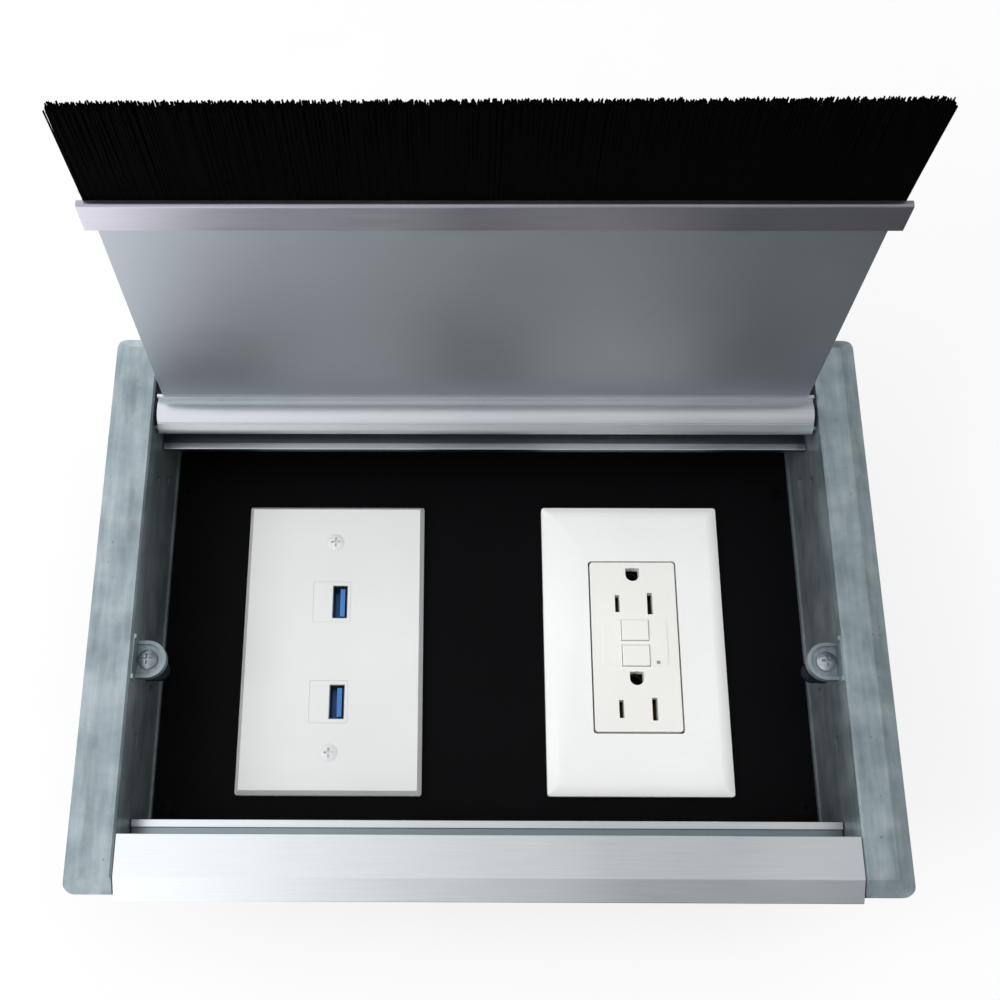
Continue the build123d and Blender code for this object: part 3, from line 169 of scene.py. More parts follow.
floor_finish, tree, place = new_finish("matt_paper_floor")
grain = add(tree, "ShaderNodeTexNoise", {"Vector": place, "Scale": per_metre(40.0)})
tone = add(tree, "ShaderNodeValToRGB", {"Fac": grain.outputs["Fac"]})
tone.color_ramp.elements[0].color = linear("#F6F6F6")
tone.color_ramp.elements[1].color = linear("#FAFAFA")
paper = add(tree, "ShaderNodeBsdfDiffuse", {"Color": tone.outputs["Color"], "Roughness": 0.5})
glow = add(tree, "ShaderNodeEmission", {"Color": (1, 1, 1, 1), "Strength": 1.0})
path = add(tree, "ShaderNodeLightPath")
straight = {0: path.outputs["Is Camera Ray"], 1: path.outputs["Is Transmission Ray"]}
straight = add(tree, "ShaderNodeMath", straight, operation="ADD")
share = {0: straight.outputs[0], 1: glow_share, 2: path.outputs["Is Glossy Ray"]}
share = add(tree, "ShaderNodeMath", share, operation="MULTIPLY_ADD")
across = add(tree, "ShaderNodeSeparateXYZ", {"Vector": place})
# Painted light: in reflections the floor glows, bright on the left and falling off to the middle.
falling = add(tree, "ShaderNodeMapRange", {"Value": across.outputs["X"], **lit_end, **dim_end})
level = {"Factor": path.outputs["Is Glossy Ray"], "A": 1.0, "B": falling.outputs[0]}
level = add(tree, "ShaderNodeMix", level)
tree.links.new(level.outputs[0], glow.inputs["Strength"])
both = add(tree, "ShaderNodeMixShader", {0: share.outputs[0], 1: paper.outputs[0], 2: glow.outputs[0]})
add(tree, "ShaderNodeOutputMaterial", {"Surface": both.outputs[0]})

bpy.ops.object.select_all(action="DESELECT")
bpy.ops.mesh.primitive_plane_add(size=floor_size, location=(0, 0, cad_box[0][2] - floor_gap))
floor = bpy.context.active_object
floor.name = "floor"
floor.data.materials.append(floor_finish)
print("floor", floor.dimensions.x, "m across")

# %% Sky
far_left = (0.7, 0.7, 0.7, 1)
far_right = (1.05, 1.06, 1.08, 1)
sky_levels = ((0.225, 1.1), (0.375, 1.5), (0.5, 0.64), (0.625, 0.5), (0.75, 0.66))
cool = (1.0, 1.01, 1.03)
room_level = 0.58

world = bpy.data.worlds.new("studio_sky")
bpy.context.scene.world = world
world.use_nodes = True
tree = world.node_tree
tree.nodes.clear()
direction = add(tree, "ShaderNodeTexCoord").outputs["Generated"]
split = add(tree, "ShaderNodeSeparateXYZ", {"Vector": direction})
across = add(tree, "ShaderNodeMapRange", {"Value": split.outputs["X"], "From Min": -1.0, "From Max": 1.0})
horizon = {"Value": split.outputs["X"], "From Min": -0.3, "From Max": 0.2, "To Min": 1.3, "To Max": 0.0}
horizon = add(tree, "ShaderNodeMapRange", horizon)
rising = {"Value": split.outputs["Z"], "From Max": 0.9, "To Min": horizon.outputs["Result"]}
rising = add(tree, "ShaderNodeMapRange", rising)
shade = add(tree, "ShaderNodeValToRGB", {"Fac": across.outputs["Result"]})
shade.color_ramp.elements[0].color = far_left
shade.color_ramp.elements[1].color = far_right
for position, level in sky_levels:
    stop = shade.color_ramp.elements.new(position)
    stop.color = [level * part for part in cool] + [1]
tint = shade.outputs["Color"]
mirrored_sky = add(tree, "ShaderNodeBackground", {"Color": tint, "Strength": rising.outputs["Result"]})
room = add(tree, "ShaderNodeBackground", {"Color": tint, "Strength": room_level})
white = add(tree, "ShaderNodeBackground", {"Color": (1, 1, 1, 1), "Strength": 1.0})
path = add(tree, "ShaderNodeLightPath")
lit = {0: path.outputs["Is Glossy Ray"], 1: room.outputs[0], 2: mirrored_sky.outputs[0]}
lit = add(tree, "ShaderNodeMixShader", lit)
straight = {0: path.outputs["Is Camera Ray"], 1: path.outputs["Is Transmission Ray"]}
straight = add(tree, "ShaderNodeMath", straight, operation="ADD")
sky = add(tree, "ShaderNodeMixShader", {0: straight.outputs[0], 1: lit.outputs[0], 2: white.outputs[0]})
add(tree, "ShaderNodeOutputWorld", {"Surface": sky.outputs[0]})
bpy.context.scene.view_settings.view_transform = "Standard"
print("sky levels across, from the left:", [level for position, level in sky_levels])


# %% Lamps
well_middle = Vector((0, 0, 80 * mm))


def soft_lamp(name, location, size, power):
    """A square area lamp that points at the middle of the well and isn't mirrored in the metal."""
    bpy.ops.object.light_add(type="AREA", location=location)
    lamp = bpy.context.active_object
    lamp.name = name
    lamp.data.shape = "SQUARE"
    lamp.data.size = size
    lamp.data.energy = power
    lamp.visible_glossy = False
    aim = well_middle - Vector(location)
    lamp.rotation_euler = aim.to_track_quat("-Z", "Y").to_euler()


soft_lamp("window_lamp", (-0.75, -0.25, 0.95), 0.6, 6.6)
soft_lamp("ceiling_lamp", (0.15, 0.1, 1.3), 0.8, 5.3)
print("two soft lamps; the metal only mirrors the sky and the floor")

# %% [markdown]
# ## Raw zinc casting
# The two side frames are die-cast zinc, left as they came from the mould. Such metal is blue-grey,
# with soft clouds some 15 mm wide and streaks along the length, where the melt flowed. Darker
# smears and fine pits are left where it cooled first. Down in the well the colour is halved as
# painted shade, and the skin there is less metallic, as a matt oxide. It is uneven too: reflections are
# broad.

# %% Zinc casting finish
shade_and_oxide_below = 92 * mm
no_shade_or_oxide_above = 101 * mm

cast_zinc, tree, place = new_finish("as_cast_zinc")
flow = add(tree, "ShaderNodeMapping", {"Vector": place, "Scale": (1.0, 0.1, 1.0)})
streaks = add(tree, "ShaderNodeTexNoise", {"Vector": flow.outputs[0], "Scale": per_metre(2.2), "Detail": 4.0})
clouds = {"Vector": place, "Scale": per_metre(15.0), "Detail": 5.0, "Roughness": 0.6}
clouds = add(tree, "ShaderNodeTexNoise", clouds)
mottle = add(tree, "ShaderNodeMix", {"Factor": 0.3, "A": clouds.outputs["Fac"], "B": streaks.outputs["Fac"]})
colour = add(tree, "ShaderNodeValToRGB", {"Fac": mottle.outputs[0]})
ramp = colour.color_ramp
ramp.elements[0].position = 0.36
ramp.elements[0].color = linear("#8C9CA1")
ramp.elements[1].position = 0.62
ramp.elements[1].color = linear("#B4C0C4")
middle = ramp.elements.new(0.5)
middle.color = linear("#A1AFB3")
run = add(tree, "ShaderNodeMapping", {"Vector": place, "Scale": (1.0, 0.22, 1.0)})
smears = add(tree, "ShaderNodeTexNoise", {"Vector": run.outputs[0], "Scale": per_metre(7.0), "Detail": 5.0})
smear_mask = add(
    tree,
    "ShaderNodeMapRange",
    {"Value": smears.outputs["Fac"], "From Min": 0.5, "From Max": 0.68, "To Min": 1.0, "To Max": 0.76},
)
pits = add(tree, "ShaderNodeTexVoronoi", {"Vector": place, "Scale": per_metre(6.0), "Randomness": 1.0})
pit_mask = add(
    tree,
    "ShaderNodeMapRange",
    {"Value": pits.outputs["Distance"], "From Min": 0.03, "From Max": 0.09, "To Min": 0.6, "To Max": 1.0},
)
height = add(tree, "ShaderNodeSeparateXYZ", {"Vector": place})
# Painted shade: down in the well, below 92 mm, the colour is halved; it rises to full at 101 mm.
shade_and_oxide_depth = {"Value": height.outputs["Z"], "From Min": shade_and_oxide_below, "From Max": no_shade_or_oxide_above}
painted_well_shade = add(tree, "ShaderNodeMapRange", {**shade_and_oxide_depth, "To Min": 0.5, "To Max": 1.0})
marks_and_shade = {0: smear_mask.outputs["Result"], 1: pit_mask.outputs["Result"]}
marks_and_shade = add(tree, "ShaderNodeMath", marks_and_shade, operation="MULTIPLY")
marks_and_shade = {0: marks_and_shade.outputs[0], 1: painted_well_shade.outputs["Result"]}
marks_and_shade = add(tree, "ShaderNodeMath", marks_and_shade, operation="MULTIPLY")
skin = add(
    tree,
    "ShaderNodeMix",
    {0: 1.0, 6: colour.outputs["Color"], 7: marks_and_shade.outputs[0]},
    data_type="RGBA",
    blend_type="MULTIPLY",
)
rough = add(
    tree,
    "ShaderNodeMapRange",
    {"Value": clouds.outputs["Fac"], "From Min": 0.3, "From Max": 0.7, "To Min": 0.44, "To Max": 0.56},
)
grit = add(tree, "ShaderNodeTexNoise", {"Vector": place, "Scale": per_metre(0.9), "Detail": 3.0})
waves = add(tree, "ShaderNodeBump", {"Height": streaks.outputs["Fac"], "Strength": 0.12, "Distance": 0.0003})
bumps = add(
    tree,
    "ShaderNodeBump",
    {"Height": grit.outputs["Fac"], "Normal": waves.outputs[0], "Strength": 0.15, "Distance": 0.0001},
)
# The same heights make the skin in the well less metallic, as a matt oxide.
bare = add(tree, "ShaderNodeMapRange", {**shade_and_oxide_depth, "To Min": 0.5, "To Max": 0.85})
finish_with(
    tree,
    Base_Color=skin.outputs[2],
    Metallic=bare.outputs["Result"],
    Roughness=rough.outputs["Result"],
    Normal=bumps.outputs[0],
)
print("zinc: clouds of 15 mm, smears of 7 mm, streaks 2 mm apart, pits 6 mm apart")

# %% [markdown]
# ## Drawn and anodised aluminium
# Rails, barrel, lid and brush channel are aluminium drawn through a die, so faint lines run along
# their whole length. Anodising leaves it satin. The real lines are finer than a tenth of a
# millimetre. They are drawn 0.5 mm apart here, because finer ones would vanish in the picture.
# One recipe serves them all, with each piece's own tone and gloss.


# %% Aluminium finishes
def drawn_aluminium(name, dark, light, gloss, line_depth, shade_below=None):
    """Aluminium with draw lines along X. Its faces below a height can take a darker grey as painted shade."""
    material, tree, place = new_finish(name)
    along = add(tree, "ShaderNodeMapping", {"Vector": place, "Scale": (0.02, 1.0, 1.0)})
    lines = {"Vector": along.outputs[0], "Scale": per_metre(0.5), "Detail": 2.0}
    lines = add(tree, "ShaderNodeTexNoise", lines)
    clouds = add(tree, "ShaderNodeTexNoise", {"Vector": place, "Scale": per_metre(60.0), "Detail": 2.0})
    tone = add(tree, "ShaderNodeMix", {"A": lines.outputs["Fac"], "B": clouds.outputs["Fac"], "Factor": 0.6})
    colour = add(tree, "ShaderNodeValToRGB", {"Fac": tone.outputs[0]})
    colour.color_ramp.elements[0].position = 0.3
    colour.color_ramp.elements[0].color = linear(dark)
    colour.color_ramp.elements[1].position = 0.7
    colour.color_ramp.elements[1].color = linear(light)
    spread = {"From Min": 0.3, "From Max": 0.7, "To Min": gloss - 0.04, "To Max": gloss + 0.04}
    rough = add(tree, "ShaderNodeMapRange", {"Value": tone.outputs[0], **spread})
    bump = {"Height": lines.outputs["Fac"], "Strength": line_depth, "Distance": 0.0001}
    bump = add(tree, "ShaderNodeBump", bump)
    tint = colour.outputs["Color"]
    # Painted shade: faces below the given height take a flat darker grey, for the recess under the barrel.
    if shade_below:
        height = add(tree, "ShaderNodeSeparateXYZ", {"Vector": place}).outputs["Z"]
        in_recess_shade = add(tree, "ShaderNodeMath", {0: height, 1: shade_below * mm}, operation="LESS_THAN")
        recess_shade_mix = {0: in_recess_shade.outputs[0], 6: tint, 7: linear("#8D989C")}
        tint = add(tree, "ShaderNodeMix", recess_shade_mix, data_type="RGBA").outputs[2]
    roughness = rough.outputs["Result"]
    finish_with(tree, Base_Color=tint, Metallic=1.0, Roughness=roughness, Normal=bump.outputs[0])
    return material


# On the rails the faces below 85.2 mm, the lips' recess under the barrel, get painted shade.
rail_aluminium = drawn_aluminium("satin_anodised_rail", "#DCE2E5", "#ECEFF0", 0.30, 0.05, shade_below=85.2)
barrel_aluminium = drawn_aluminium("bright_drawn_barrel", "#D2D7DB", "#E2E5E7", 0.42, 0.04)
lid_aluminium = drawn_aluminium("dull_drawn_lid", "#A6ACB3", "#AFB4BA", 0.58, 0.03)
channel_aluminium = drawn_aluminium("satin_channel", "#A5A4AE", "#B4B2BC", 0.42, 0.04)
print("four aluminium finishes, roughness 0.26 to 0.62")

# %% [markdown]
# ## Painted and plated steel
# The tub and the panel that carries the plates are sheet steel with black powder coat, which cures
# with a faint orange-peel skin. The panel's coat is so matt that it shows as an even black, while
# the tub's is satin. Screws and the yoke are zinc plated, a thin bright layer with cloudy patches.
# The straps take a much darker copy of that plating, painted shade for the shadow under the lugs.
# The ground screw is dyed green, so that it can't be mistaken.


# %% Powder coats
def powder_coat(name, dark, light, level):
    """Black powder coat with an orange-peel skin, on which a little dust lies in soft patches."""
    material, tree, place = new_finish(name)
    peel = add(tree, "ShaderNodeTexNoise", {"Vector": place, "Scale": per_metre(0.8), "Detail": 2.0})
    dust = add(tree, "ShaderNodeTexNoise", {"Vector": place, "Scale": per_metre(30.0), "Detail": 3.0})
    colour = add(tree, "ShaderNodeValToRGB", {"Fac": dust.outputs["Fac"]})
    colour.color_ramp.elements[0].color = linear(dark)
    colour.color_ramp.elements[1].color = linear(light)
    bump = add(tree, "ShaderNodeBump", {"Height": peel.outputs["Fac"], "Strength": 0.15, "Distance": 0.0002})
    finish_with(
        tree,
        Base_Color=colour.outputs["Color"],
        Roughness=0.6,
        Specular_IOR_Level=level,
        Normal=bump.outputs[0],
    )
    return material


panel_coat = powder_coat("matt_black_panel_coat", "#040405", "#070709", 0.08)
tub_coat = powder_coat("satin_black_tub_coat", "#131315", "#1C1C1F", 0.4)
print("two powder coats with a peel of 0.8 mm")


# %% Plated steel finishes
def plated_steel(name, dark, light, gloss):
    """Plated steel with cloudy patches about 3 mm wide."""
    material, tree, place = new_finish(name)
    clouds = add(tree, "ShaderNodeTexNoise", {"Vector": place, "Scale": per_metre(3.0), "Detail": 4.0})
    colour = add(tree, "ShaderNodeValToRGB", {"Fac": clouds.outputs["Fac"]})
    colour.color_ramp.elements[0].position = 0.35
    colour.color_ramp.elements[0].color = linear(dark)
    colour.color_ramp.elements[1].position = 0.65
    colour.color_ramp.elements[1].color = linear(light)
    spread = {"From Min": 0.3, "From Max": 0.7, "To Min": gloss, "To Max": gloss + 0.15}
    rough = add(tree, "ShaderNodeMapRange", {"Value": clouds.outputs["Fac"], **spread})
    scuffs = add(tree, "ShaderNodeTexNoise", {"Vector": place, "Scale": per_metre(0.4), "Detail": 2.0})
    bump = {"Height": scuffs.outputs["Fac"], "Strength": 0.12, "Distance": 0.00005}
    bump = add(tree, "ShaderNodeBump", bump)
    finish_with(
        tree,
        Base_Color=colour.outputs["Color"],
        Metallic=1.0,
        Roughness=rough.outputs["Result"],
        Normal=bump.outputs[0],
    )
    return material


zinc_plate = plated_steel("zinc_plated_steel", "#9EA5AC", "#BAC0C6", 0.36)
# Painted shade: the straps take a much darker copy of the zinc plating, for the shadow under the lugs.
shaded_strap_steel = plated_steel("shaded_zinc_plated_strap", "#34373A", "#484C50", 0.5)
green_steel = plated_steel("green_dyed_steel", "#1C5A2E", "#2F7C44", 0.32)
black_steel = plated_steel("black_oxide_steel", "#141416", "#202024", 0.42)
port_steel = plated_steel("stamped_port_steel", "#5C6068", "#7A7E86", 0.34)
brass = plated_steel("tarnished_brass", "#4A3A1C", "#6A5530", 0.42)
gold = plated_steel("gold_flashed_contact", "#D8A840", "#F0CB6C", 0.22)
print("seven plated finishes")

# %% [markdown]
# ## Moulded plastics
# Both wall plates and the receptacle are moulded thermoplastic with a fine spark-eroded texture.
# White plastic doesn't stop light at its surface as paint does: light sinks a little way in, so
# shadows on it stay soft. A touch of subsurface and a slightly uneven tone give that.


# %% Plastic finishes
def moulded_plastic(name, dark, light, gloss, inside=0.08, level=0.5):
    """Moulded plastic between two near tones, with a fine texture and a share of light inside it."""
    material, tree, place = new_finish(name)
    clouds = add(tree, "ShaderNodeTexNoise", {"Vector": place, "Scale": per_metre(45.0), "Detail": 2.0})
    colour = add(tree, "ShaderNodeValToRGB", {"Fac": clouds.outputs["Fac"]})
    colour.color_ramp.elements[0].position = 0.35
    colour.color_ramp.elements[0].color = linear(dark)
    colour.color_ramp.elements[1].position = 0.65
    colour.color_ramp.elements[1].color = linear(light)
    sparks = add(tree, "ShaderNodeTexNoise", {"Vector": place, "Scale": per_metre(0.35), "Detail": 2.0})
    bump = {"Height": sparks.outputs["Fac"], "Strength": 0.1, "Distance": 0.00004}
    bump = add(tree, "ShaderNodeBump", bump)
    finish_with(
        tree,
        Base_Color=colour.outputs["Color"],
        Roughness=gloss,
        Specular_IOR_Level=level,
        Subsurface_Weight=inside,
        Subsurface_Radius=(0.002, 0.002, 0.0018),
        Subsurface_Scale=0.5,
        Normal=bump.outputs[0],
    )
    return material


data_plastic = moulded_plastic("off_white_plate_abs", "#DFE0DF", "#E3E4E3", 0.42)
insert_plastic = moulded_plastic("off_white_coupler_abs", "#DFE0DF", "#E3E4E3", 0.42)
power_plastic = moulded_plastic("white_plate_polycarbonate", "#F0F0EF", "#F4F4F3", 0.36)
receptacle_plastic = moulded_plastic("white_receptacle_nylon", "#EDECE7", "#F1F0EB", 0.38)
body_plastic = moulded_plastic("dark_receptacle_body", "#1C1D1F", "#242628", 0.55, inside=0.0)
painted_screw = moulded_plastic("screw_head_paint", "#DADBDC", "#E0E1E2", 0.35, inside=0.0)
blue_plastic = moulded_plastic("blue_port_tongue", "#3A70B2", "#4A82C2", 0.40, inside=0.0)
black_nylon = moulded_plastic("black_bush_nylon", "#101012", "#18181A", 0.5, inside=0.0, level=0.3)
lens_plastic = moulded_plastic("unlit_lens", "#8D928F", "#A2A7A4", 0.2, inside=0.1)
print("nine moulded finishes")

# %% [markdown]
# ## Rounded edges
# A die or a press never leaves a perfectly sharp edge, and a rounded edge is what draws the thin
# light line round every real piece. Each piece that shows is copied from its CAD node. The copy's
# doubles are merged and its flat faces are joined again. A bevel then rounds each edge that is
# sharp and long enough to be seen. Smooth shading alone would bend the light over the large flats,
# so the normals are weighted by area: flats stay flat, and only the narrow bevels turn.


# %% Copy a node and round its edges
merge_distance = 0.002 * mm
flat_turn = math.radians(0.6)
smooth_turn = math.radians(40)


def only(piece):
    """Selects one piece alone."""
    bpy.ops.object.select_all(action="DESELECT")
    piece.select_set(True)
    bpy.context.view_layer.objects.active = piece


def weigh_normals(piece):
    """Smooths the narrow faces of a piece and keeps its large flats flat."""
    only(piece)
    if piece.data.has_custom_normals:
        bpy.ops.mesh.customdata_custom_splitnormals_clear()
    bpy.ops.object.shade_smooth_by_angle(angle=smooth_turn)
    flats = piece.modifiers.new("flats", "WEIGHTED_NORMAL")
    flats.keep_sharp = True
    bpy.ops.object.modifier_apply(modifier=flats.name)


def rounded(node, body, slot, finish, width_mm, angle=30.0, shortest_mm=1.0):
    """A copy of a CAD node with rounded edges, which stands for that node."""
    only(nodes[node])
    bpy.ops.object.duplicate()
    piece = bpy.context.active_object
    piece.name = node + "_rounded"
    bpy.ops.object.parent_clear(type="CLEAR_KEEP_TRANSFORM")
    if piece.data.has_custom_normals:
        bpy.ops.mesh.customdata_custom_splitnormals_clear()
    bpy.ops.object.mode_set(mode="EDIT")
    bpy.ops.mesh.select_all(action="SELECT")
    bpy.ops.mesh.remove_doubles(threshold=merge_distance)
    bpy.ops.mesh.dissolve_limited(angle_limit=flat_turn)
    bpy.ops.mesh.select_all(action="DESELECT")
    bpy.ops.mesh.select_mode(type="EDGE")
    bpy.ops.mesh.edges_select_sharp(sharpness=math.radians(angle))
    bpy.ops.object.mode_set(mode="OBJECT")
    weights = piece.data.attributes.new("bevel_weight_edge", "FLOAT", "EDGE")
    points = piece.data.vertices
    for edge in piece.data.edges:
        first, last = (points[i].co for i in edge.vertices)
        if edge.select and (first - last).length > shortest_mm * mm:
            weights.data[edge.index].value = 1.0
    bevel = piece.modifiers.new("edge", "BEVEL")
    bevel.width = width_mm * mm
    bevel.segments = 2
    bevel.limit_method = "WEIGHT"
    bpy.ops.object.modifier_apply(modifier=bevel.name)
    weigh_normals(piece)
    piece.data.materials.clear()
    piece.data.materials.append(finish)
    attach(piece, body)
    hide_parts(node)
    return piece


# each row: node, body, slot, finish, bevel in mm, least angle, shortest edge in mm
rounding = [
    ("side_casting_left", "frame", "zinc_casting", cast_zinc, 0.45, 15.0),
    ("side_casting_right", "frame", "zinc_casting", cast_zinc, 0.45, 15.0),
    ("front_rail", "frame", "rail_aluminium", rail_aluminium, 0.3, 20.0),
    ("rear_rail", "frame", "rail_aluminium", rail_aluminium, 0.3, 20.0),
    ("hinge_barrel", "lid", "barrel_aluminium", barrel_aluminium, 0.15),
    ("lid_plate", "lid", "lid_aluminium", lid_aluminium, 0.15),
    ("brush_channel", "lid", "channel_aluminium", channel_aluminium, 0.25),
    ("usb_wall_plate", "frame", "data_plate_plastic", data_plastic, 0.25, 30.0, 20.0),
    ("usb_insert_front", "frame", "data_insert_plastic", insert_plastic, 0.05),
    ("usb_insert_rear", "frame", "data_insert_plastic", insert_plastic, 0.05),
    ("cover_plate", "frame", "power_plate_plastic", power_plastic, 0.4),
    ("receptacle_face", "frame", "receptacle_plastic", receptacle_plastic, 0.25),
    ("test_button", "test", "receptacle_plastic", receptacle_plastic, 0.15),
    ("reset_button", "reset", "receptacle_plastic", receptacle_plastic, 0.15),
    ("clamp_screw_left", "clamp_turn_left", "zinc_plated_steel", zinc_plate, 0.12),
    ("clamp_screw_right", "clamp_turn_right", "zinc_plated_steel", zinc_plate, 0.12),
    ("clamp_strap_left", "strap_left", "zinc_plated_steel", shaded_strap_steel, 0.25),
    ("clamp_strap_right", "strap_right", "zinc_plated_steel", shaded_strap_steel, 0.25),
    ("usb_plate_screws", "frame", "painted_screw", painted_screw, 0.08),
    ("tub", "frame", "black_steel", tub_coat, 0.2),
]
for row in rounding:
    piece = rounded(*row)
    print(piece.name, len(piece.data.polygons), "faces")

# %% [markdown]
# ## Seam round the two couplers
# The CAD leaves 0.2 mm round each coupler, so that it can be pushed through its window. The real
# ones have a slight draft, which closes that gap at the face to a hairline. Only the rim of the
# copies is moved.

# %% Widen the rims of the couplers
draft = 0.14 * mm
rim_depth = 0.4 * mm
rim_width = 0.1 * mm
for name in ("usb_insert_front_rounded", "usb_insert_rear_rounded"):
    coupler = bpy.data.objects[name].data
    top = max(point.co.z for point in coupler.vertices)
    rim = [point for point in coupler.vertices if point.co.z > top - rim_depth]
    for axis in (0, 1):
        low = min(point.co[axis] for point in rim) + rim_width
        high = max(point.co[axis] for point in rim) - rim_width
        for point in rim:
            if point.co[axis] < low:
                point.co[axis] -= draft
            elif point.co[axis] > high:
                point.co[axis] += draft
    print(name, len(rim), "points on its rim")

# %% [markdown]
# ## Drip edge of the barrel
# In the CAD the barrel is a plain round bar. The real extrusion leaves the round at a fine scribed
# line and runs on flat to a small edge over the gap, which keeps spilt drinks out of the well. The
# points past that line are moved from the round onto the flat. The swing of the lid stays free.

# %% Flatten the barrel's front flank
hinge_axis = Vector((0, 72.1 * mm, 97.0 * mm))
lid_open_lean = math.radians(7.8)
barrel_radius = 7.0 * mm
flat_start = math.radians(-58.0)
flat_end = math.radians(-90.0)
round_again = math.radians(-132.0)
skin_depth = 0.15 * mm


def on_round(turn):
    """A point on the barrel's round, by its turn from the lid's own direction, as Y and Z."""
    turn += lid_open_lean
    return Vector((0, math.sin(turn), math.cos(turn))) * barrel_radius


leaves_at = flat_start + lid_open_lean
heading = Vector((0, -math.cos(leaves_at), math.sin(leaves_at)))
drip_edge = on_round(flat_start) + heading * barrel_radius * (flat_start - flat_end)
barrel = bpy.data.objects["hinge_barrel_rounded"]
moved = 0
for point in barrel.data.vertices:
    arm = point.co - hinge_axis
    arm.x = 0
    turn = math.atan2(arm.y, arm.z) - lid_open_lean
    if abs(arm.length - barrel_radius) > skin_depth or not round_again < turn < flat_start:
        continue
    if turn > flat_end:
        target = on_round(flat_start) + heading * barrel_radius * (flat_start - turn)
    else:
        share = (turn - round_again) / (flat_end - round_again)
        target = on_round(round_again).lerp(drip_edge, share)
    x = point.co.x
    point.co = hinge_axis + target
    point.co.x = x
    moved += 1
weigh_normals(barrel)
print(moved, "points moved, the edge lies", round(drip_edge.length / mm, 2), "mm from the axis")

# %% [markdown]
# ## Finishes for the CAD nodes that stay
# The other nodes already have the right shape, and most lie under the panel or inside the lid. Each
# gets its finish through the material slots of its own object, found by the slot's name in the
# record. The tub's ends and its divider take the tub's coat instead of the panel's.

# %% Finish the remaining nodes
finish_of_slot = {
    "zinc_plated_steel": zinc_plate,
    "green_steel": green_steel,
    "black_steel": panel_coat,
    "black_screw": black_steel,
    "black_nylon": black_nylon,
    "port_shell_steel": port_steel,
    "blue_plastic": blue_plastic,
    "gold_contact": gold,
    "contact_brass": brass,
    "power_plate_plastic": power_plastic,
    "receptacle_plastic": receptacle_plastic,
    "receptacle_body_plastic": body_plastic,
    "lens_plastic": lens_plastic,
    "data_plate_plastic": data_plastic,
    "data_insert_plastic": insert_plastic,
    "painted_screw": painted_screw,
    "zinc_casting": cast_zinc,
    "rail_aluminium": rail_aluminium,
    "barrel_aluminium": barrel_aluminium,
    "lid_aluminium": lid_aluminium,
    "channel_aluminium": channel_aluminium,
}
slot_of_node = {row["node"]: row["material_slot"] for row in frame["record"]["subparts"]}
inside_tub = ("tub_end_left", "tub_end_right", "divider")
for name, node in nodes.items():
    finish = tub_coat if name in inside_tub else finish_of_slot.get(slot_of_node[name])
    if finish:
        for holder in node.material_slots:
            holder.material = finish
print(len(finish_of_slot), "slots have a finish")

# %% [markdown]
# ## Brush
# A brush strip is a folded steel spine that grips thousands of nylon bristles. Seen as a whole it
# is a deep black band with a ragged free edge. One bristle is modelled as a thin three-sided cone
# with a few rings along it. Two arrays set out seven rows of them, and each bristle then gets its
# own length, lean and curve from one seeded list of random numbers, so each run gives the same brush.

# %% One bristle
bristle_root = 115.2 * mm
bristle_length = 40.2 * mm
bristle_pitch = 0.46 * mm
bristle_count = 535
bristle_rows = 7
row_pitch = 0.52 * mm
root_radius = 0.40 * mm
tip_radius = 0.34 * mm

bpy.ops.object.select_all(action="DESELECT")
bpy.ops.mesh.primitive_cone_add(
    vertices=3,
    radius1=root_radius,
    radius2=tip_radius,
    depth=bristle_length,
    location=(0, 0, bristle_root + bristle_length / 2),
)
brush = bpy.context.active_object
brush.name = "brush_bristles_nylon"
bpy.ops.object.transform_apply(location=True, rotation=True, scale=True)
bpy.ops.object.mode_set(mode="EDIT")
for share in (0.25, 0.5, 0.75):
    bpy.ops.mesh.select_all(action="SELECT")
    bpy.ops.mesh.bisect(plane_co=(0, 0, bristle_root + share * bristle_length), plane_no=(0, 0, 1))
bpy.ops.object.mode_set(mode="OBJECT")
points_each = len(brush.data.vertices)
print("one bristle has", points_each, "points")

# %% Set the bristles out and bend each one
for axis, count, pitch in ((0, bristle_count, bristle_pitch), (1, bristle_rows, row_pitch)):
    array = brush.modifiers.new("rows", "ARRAY")
    array.count = count
    array.use_relative_offset = False
    array.use_constant_offset = True
    array.constant_offset_displace = [pitch if i == axis else 0 for i in range(3)]
    bpy.ops.object.modifier_apply(modifier=array.name)

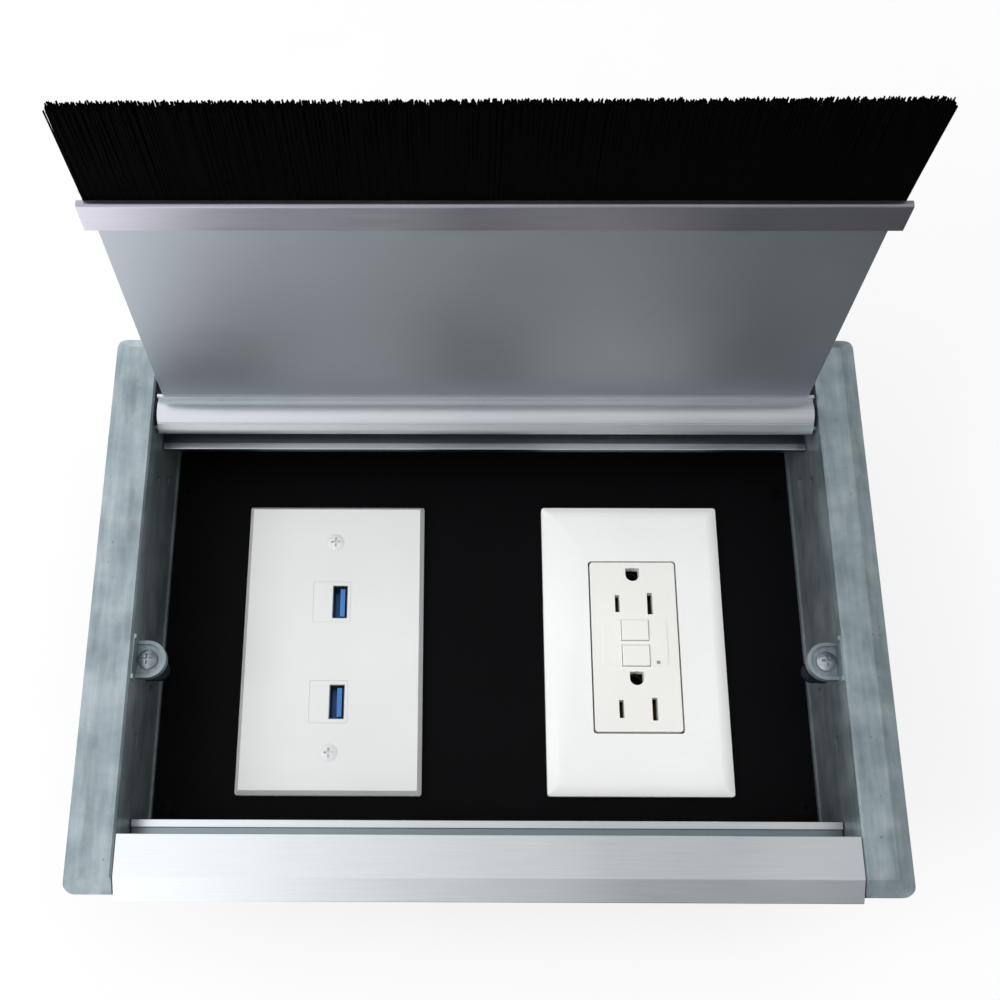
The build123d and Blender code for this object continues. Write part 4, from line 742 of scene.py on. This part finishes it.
total = bristle_count * bristle_rows
points = np.zeros(len(brush.data.vertices) * 3)
brush.data.vertices.foreach_get("co", points)
points = points.reshape(total, points_each, 3)
points[:, :, 0] -= (bristle_count - 1) * bristle_pitch / 2
points[:, :, 1] -= (bristle_rows - 1) * row_pitch / 2
half_brush = 123.3 * mm
half_depth = 2.1 * mm
root_narrowing = 0.012
cut_slant = 1.7 * mm
uneven_cut = 0.03
broken_share = 0.05
lean_across_mm = 0.4
lean_through_mm = 0.25
scatter_across_mm = 0.2
scatter_through_mm = 0.15
random.seed(7)
for strand in points:
    along = (strand[:, 2] - bristle_root) / bristle_length
    reach = 1.0 - uneven_cut * random.random() ** 2
    reach -= uneven_cut if random.random() < broken_share else 0.0
    side = random.gauss(0, lean_across_mm) * mm
    through = random.gauss(0, lean_through_mm) * mm
    strand[:, 0] += random.uniform(-scatter_across_mm, scatter_across_mm) * mm + side * along**2
    strand[:, 1] += random.uniform(-scatter_through_mm, scatter_through_mm) * mm + through * along**2
    strand[:, 0] *= 1.0 - root_narrowing * (1.0 - along)
    trim = cut_slant * (0.5 - strand[0, 0] / (2 * half_brush))
    strand[:, 2] = bristle_root + along * (bristle_length * reach - trim)
points[:, :, 0] = np.clip(points[:, :, 0], -half_brush, half_brush)
points[:, :, 1] = np.clip(points[:, :, 1], -half_depth, half_depth)
brush.data.vertices.foreach_set("co", points.reshape(-1))
brush.data.update()
print(total, "bristles")

# %% Put the brush on the lid
bristle_nylon, tree, place = new_finish("black_bristle_nylon")
tint = add(tree, "ShaderNodeTexNoise", {"Vector": place, "Scale": per_metre(2.0), "Detail": 2.0})
colour = add(tree, "ShaderNodeValToRGB", {"Fac": tint.outputs["Fac"]})
colour.color_ramp.elements[0].color = linear("#020202")
colour.color_ramp.elements[1].color = linear("#060607")
finish_with(tree, Base_Color=colour.outputs["Color"], Roughness=0.8, Specular_IOR_Level=0.02)

brush_middle = 3.0 * mm
only(brush)
points[:, :, 1] += brush_middle
brush.data.vertices.foreach_set("co", points.reshape(-1))
brush.rotation_euler = (-lid_open_lean, 0, 0)
brush.location = hinge_axis
bpy.ops.object.transform_apply(location=True, rotation=True, scale=True)
brush.data.materials.append(bristle_nylon)
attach(brush, "lid")
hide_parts("brush_bristles")
low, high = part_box("brush_bristles")
print("brush node from", [round(v, 4) for v in low], "to", [round(v, 4) for v in high])
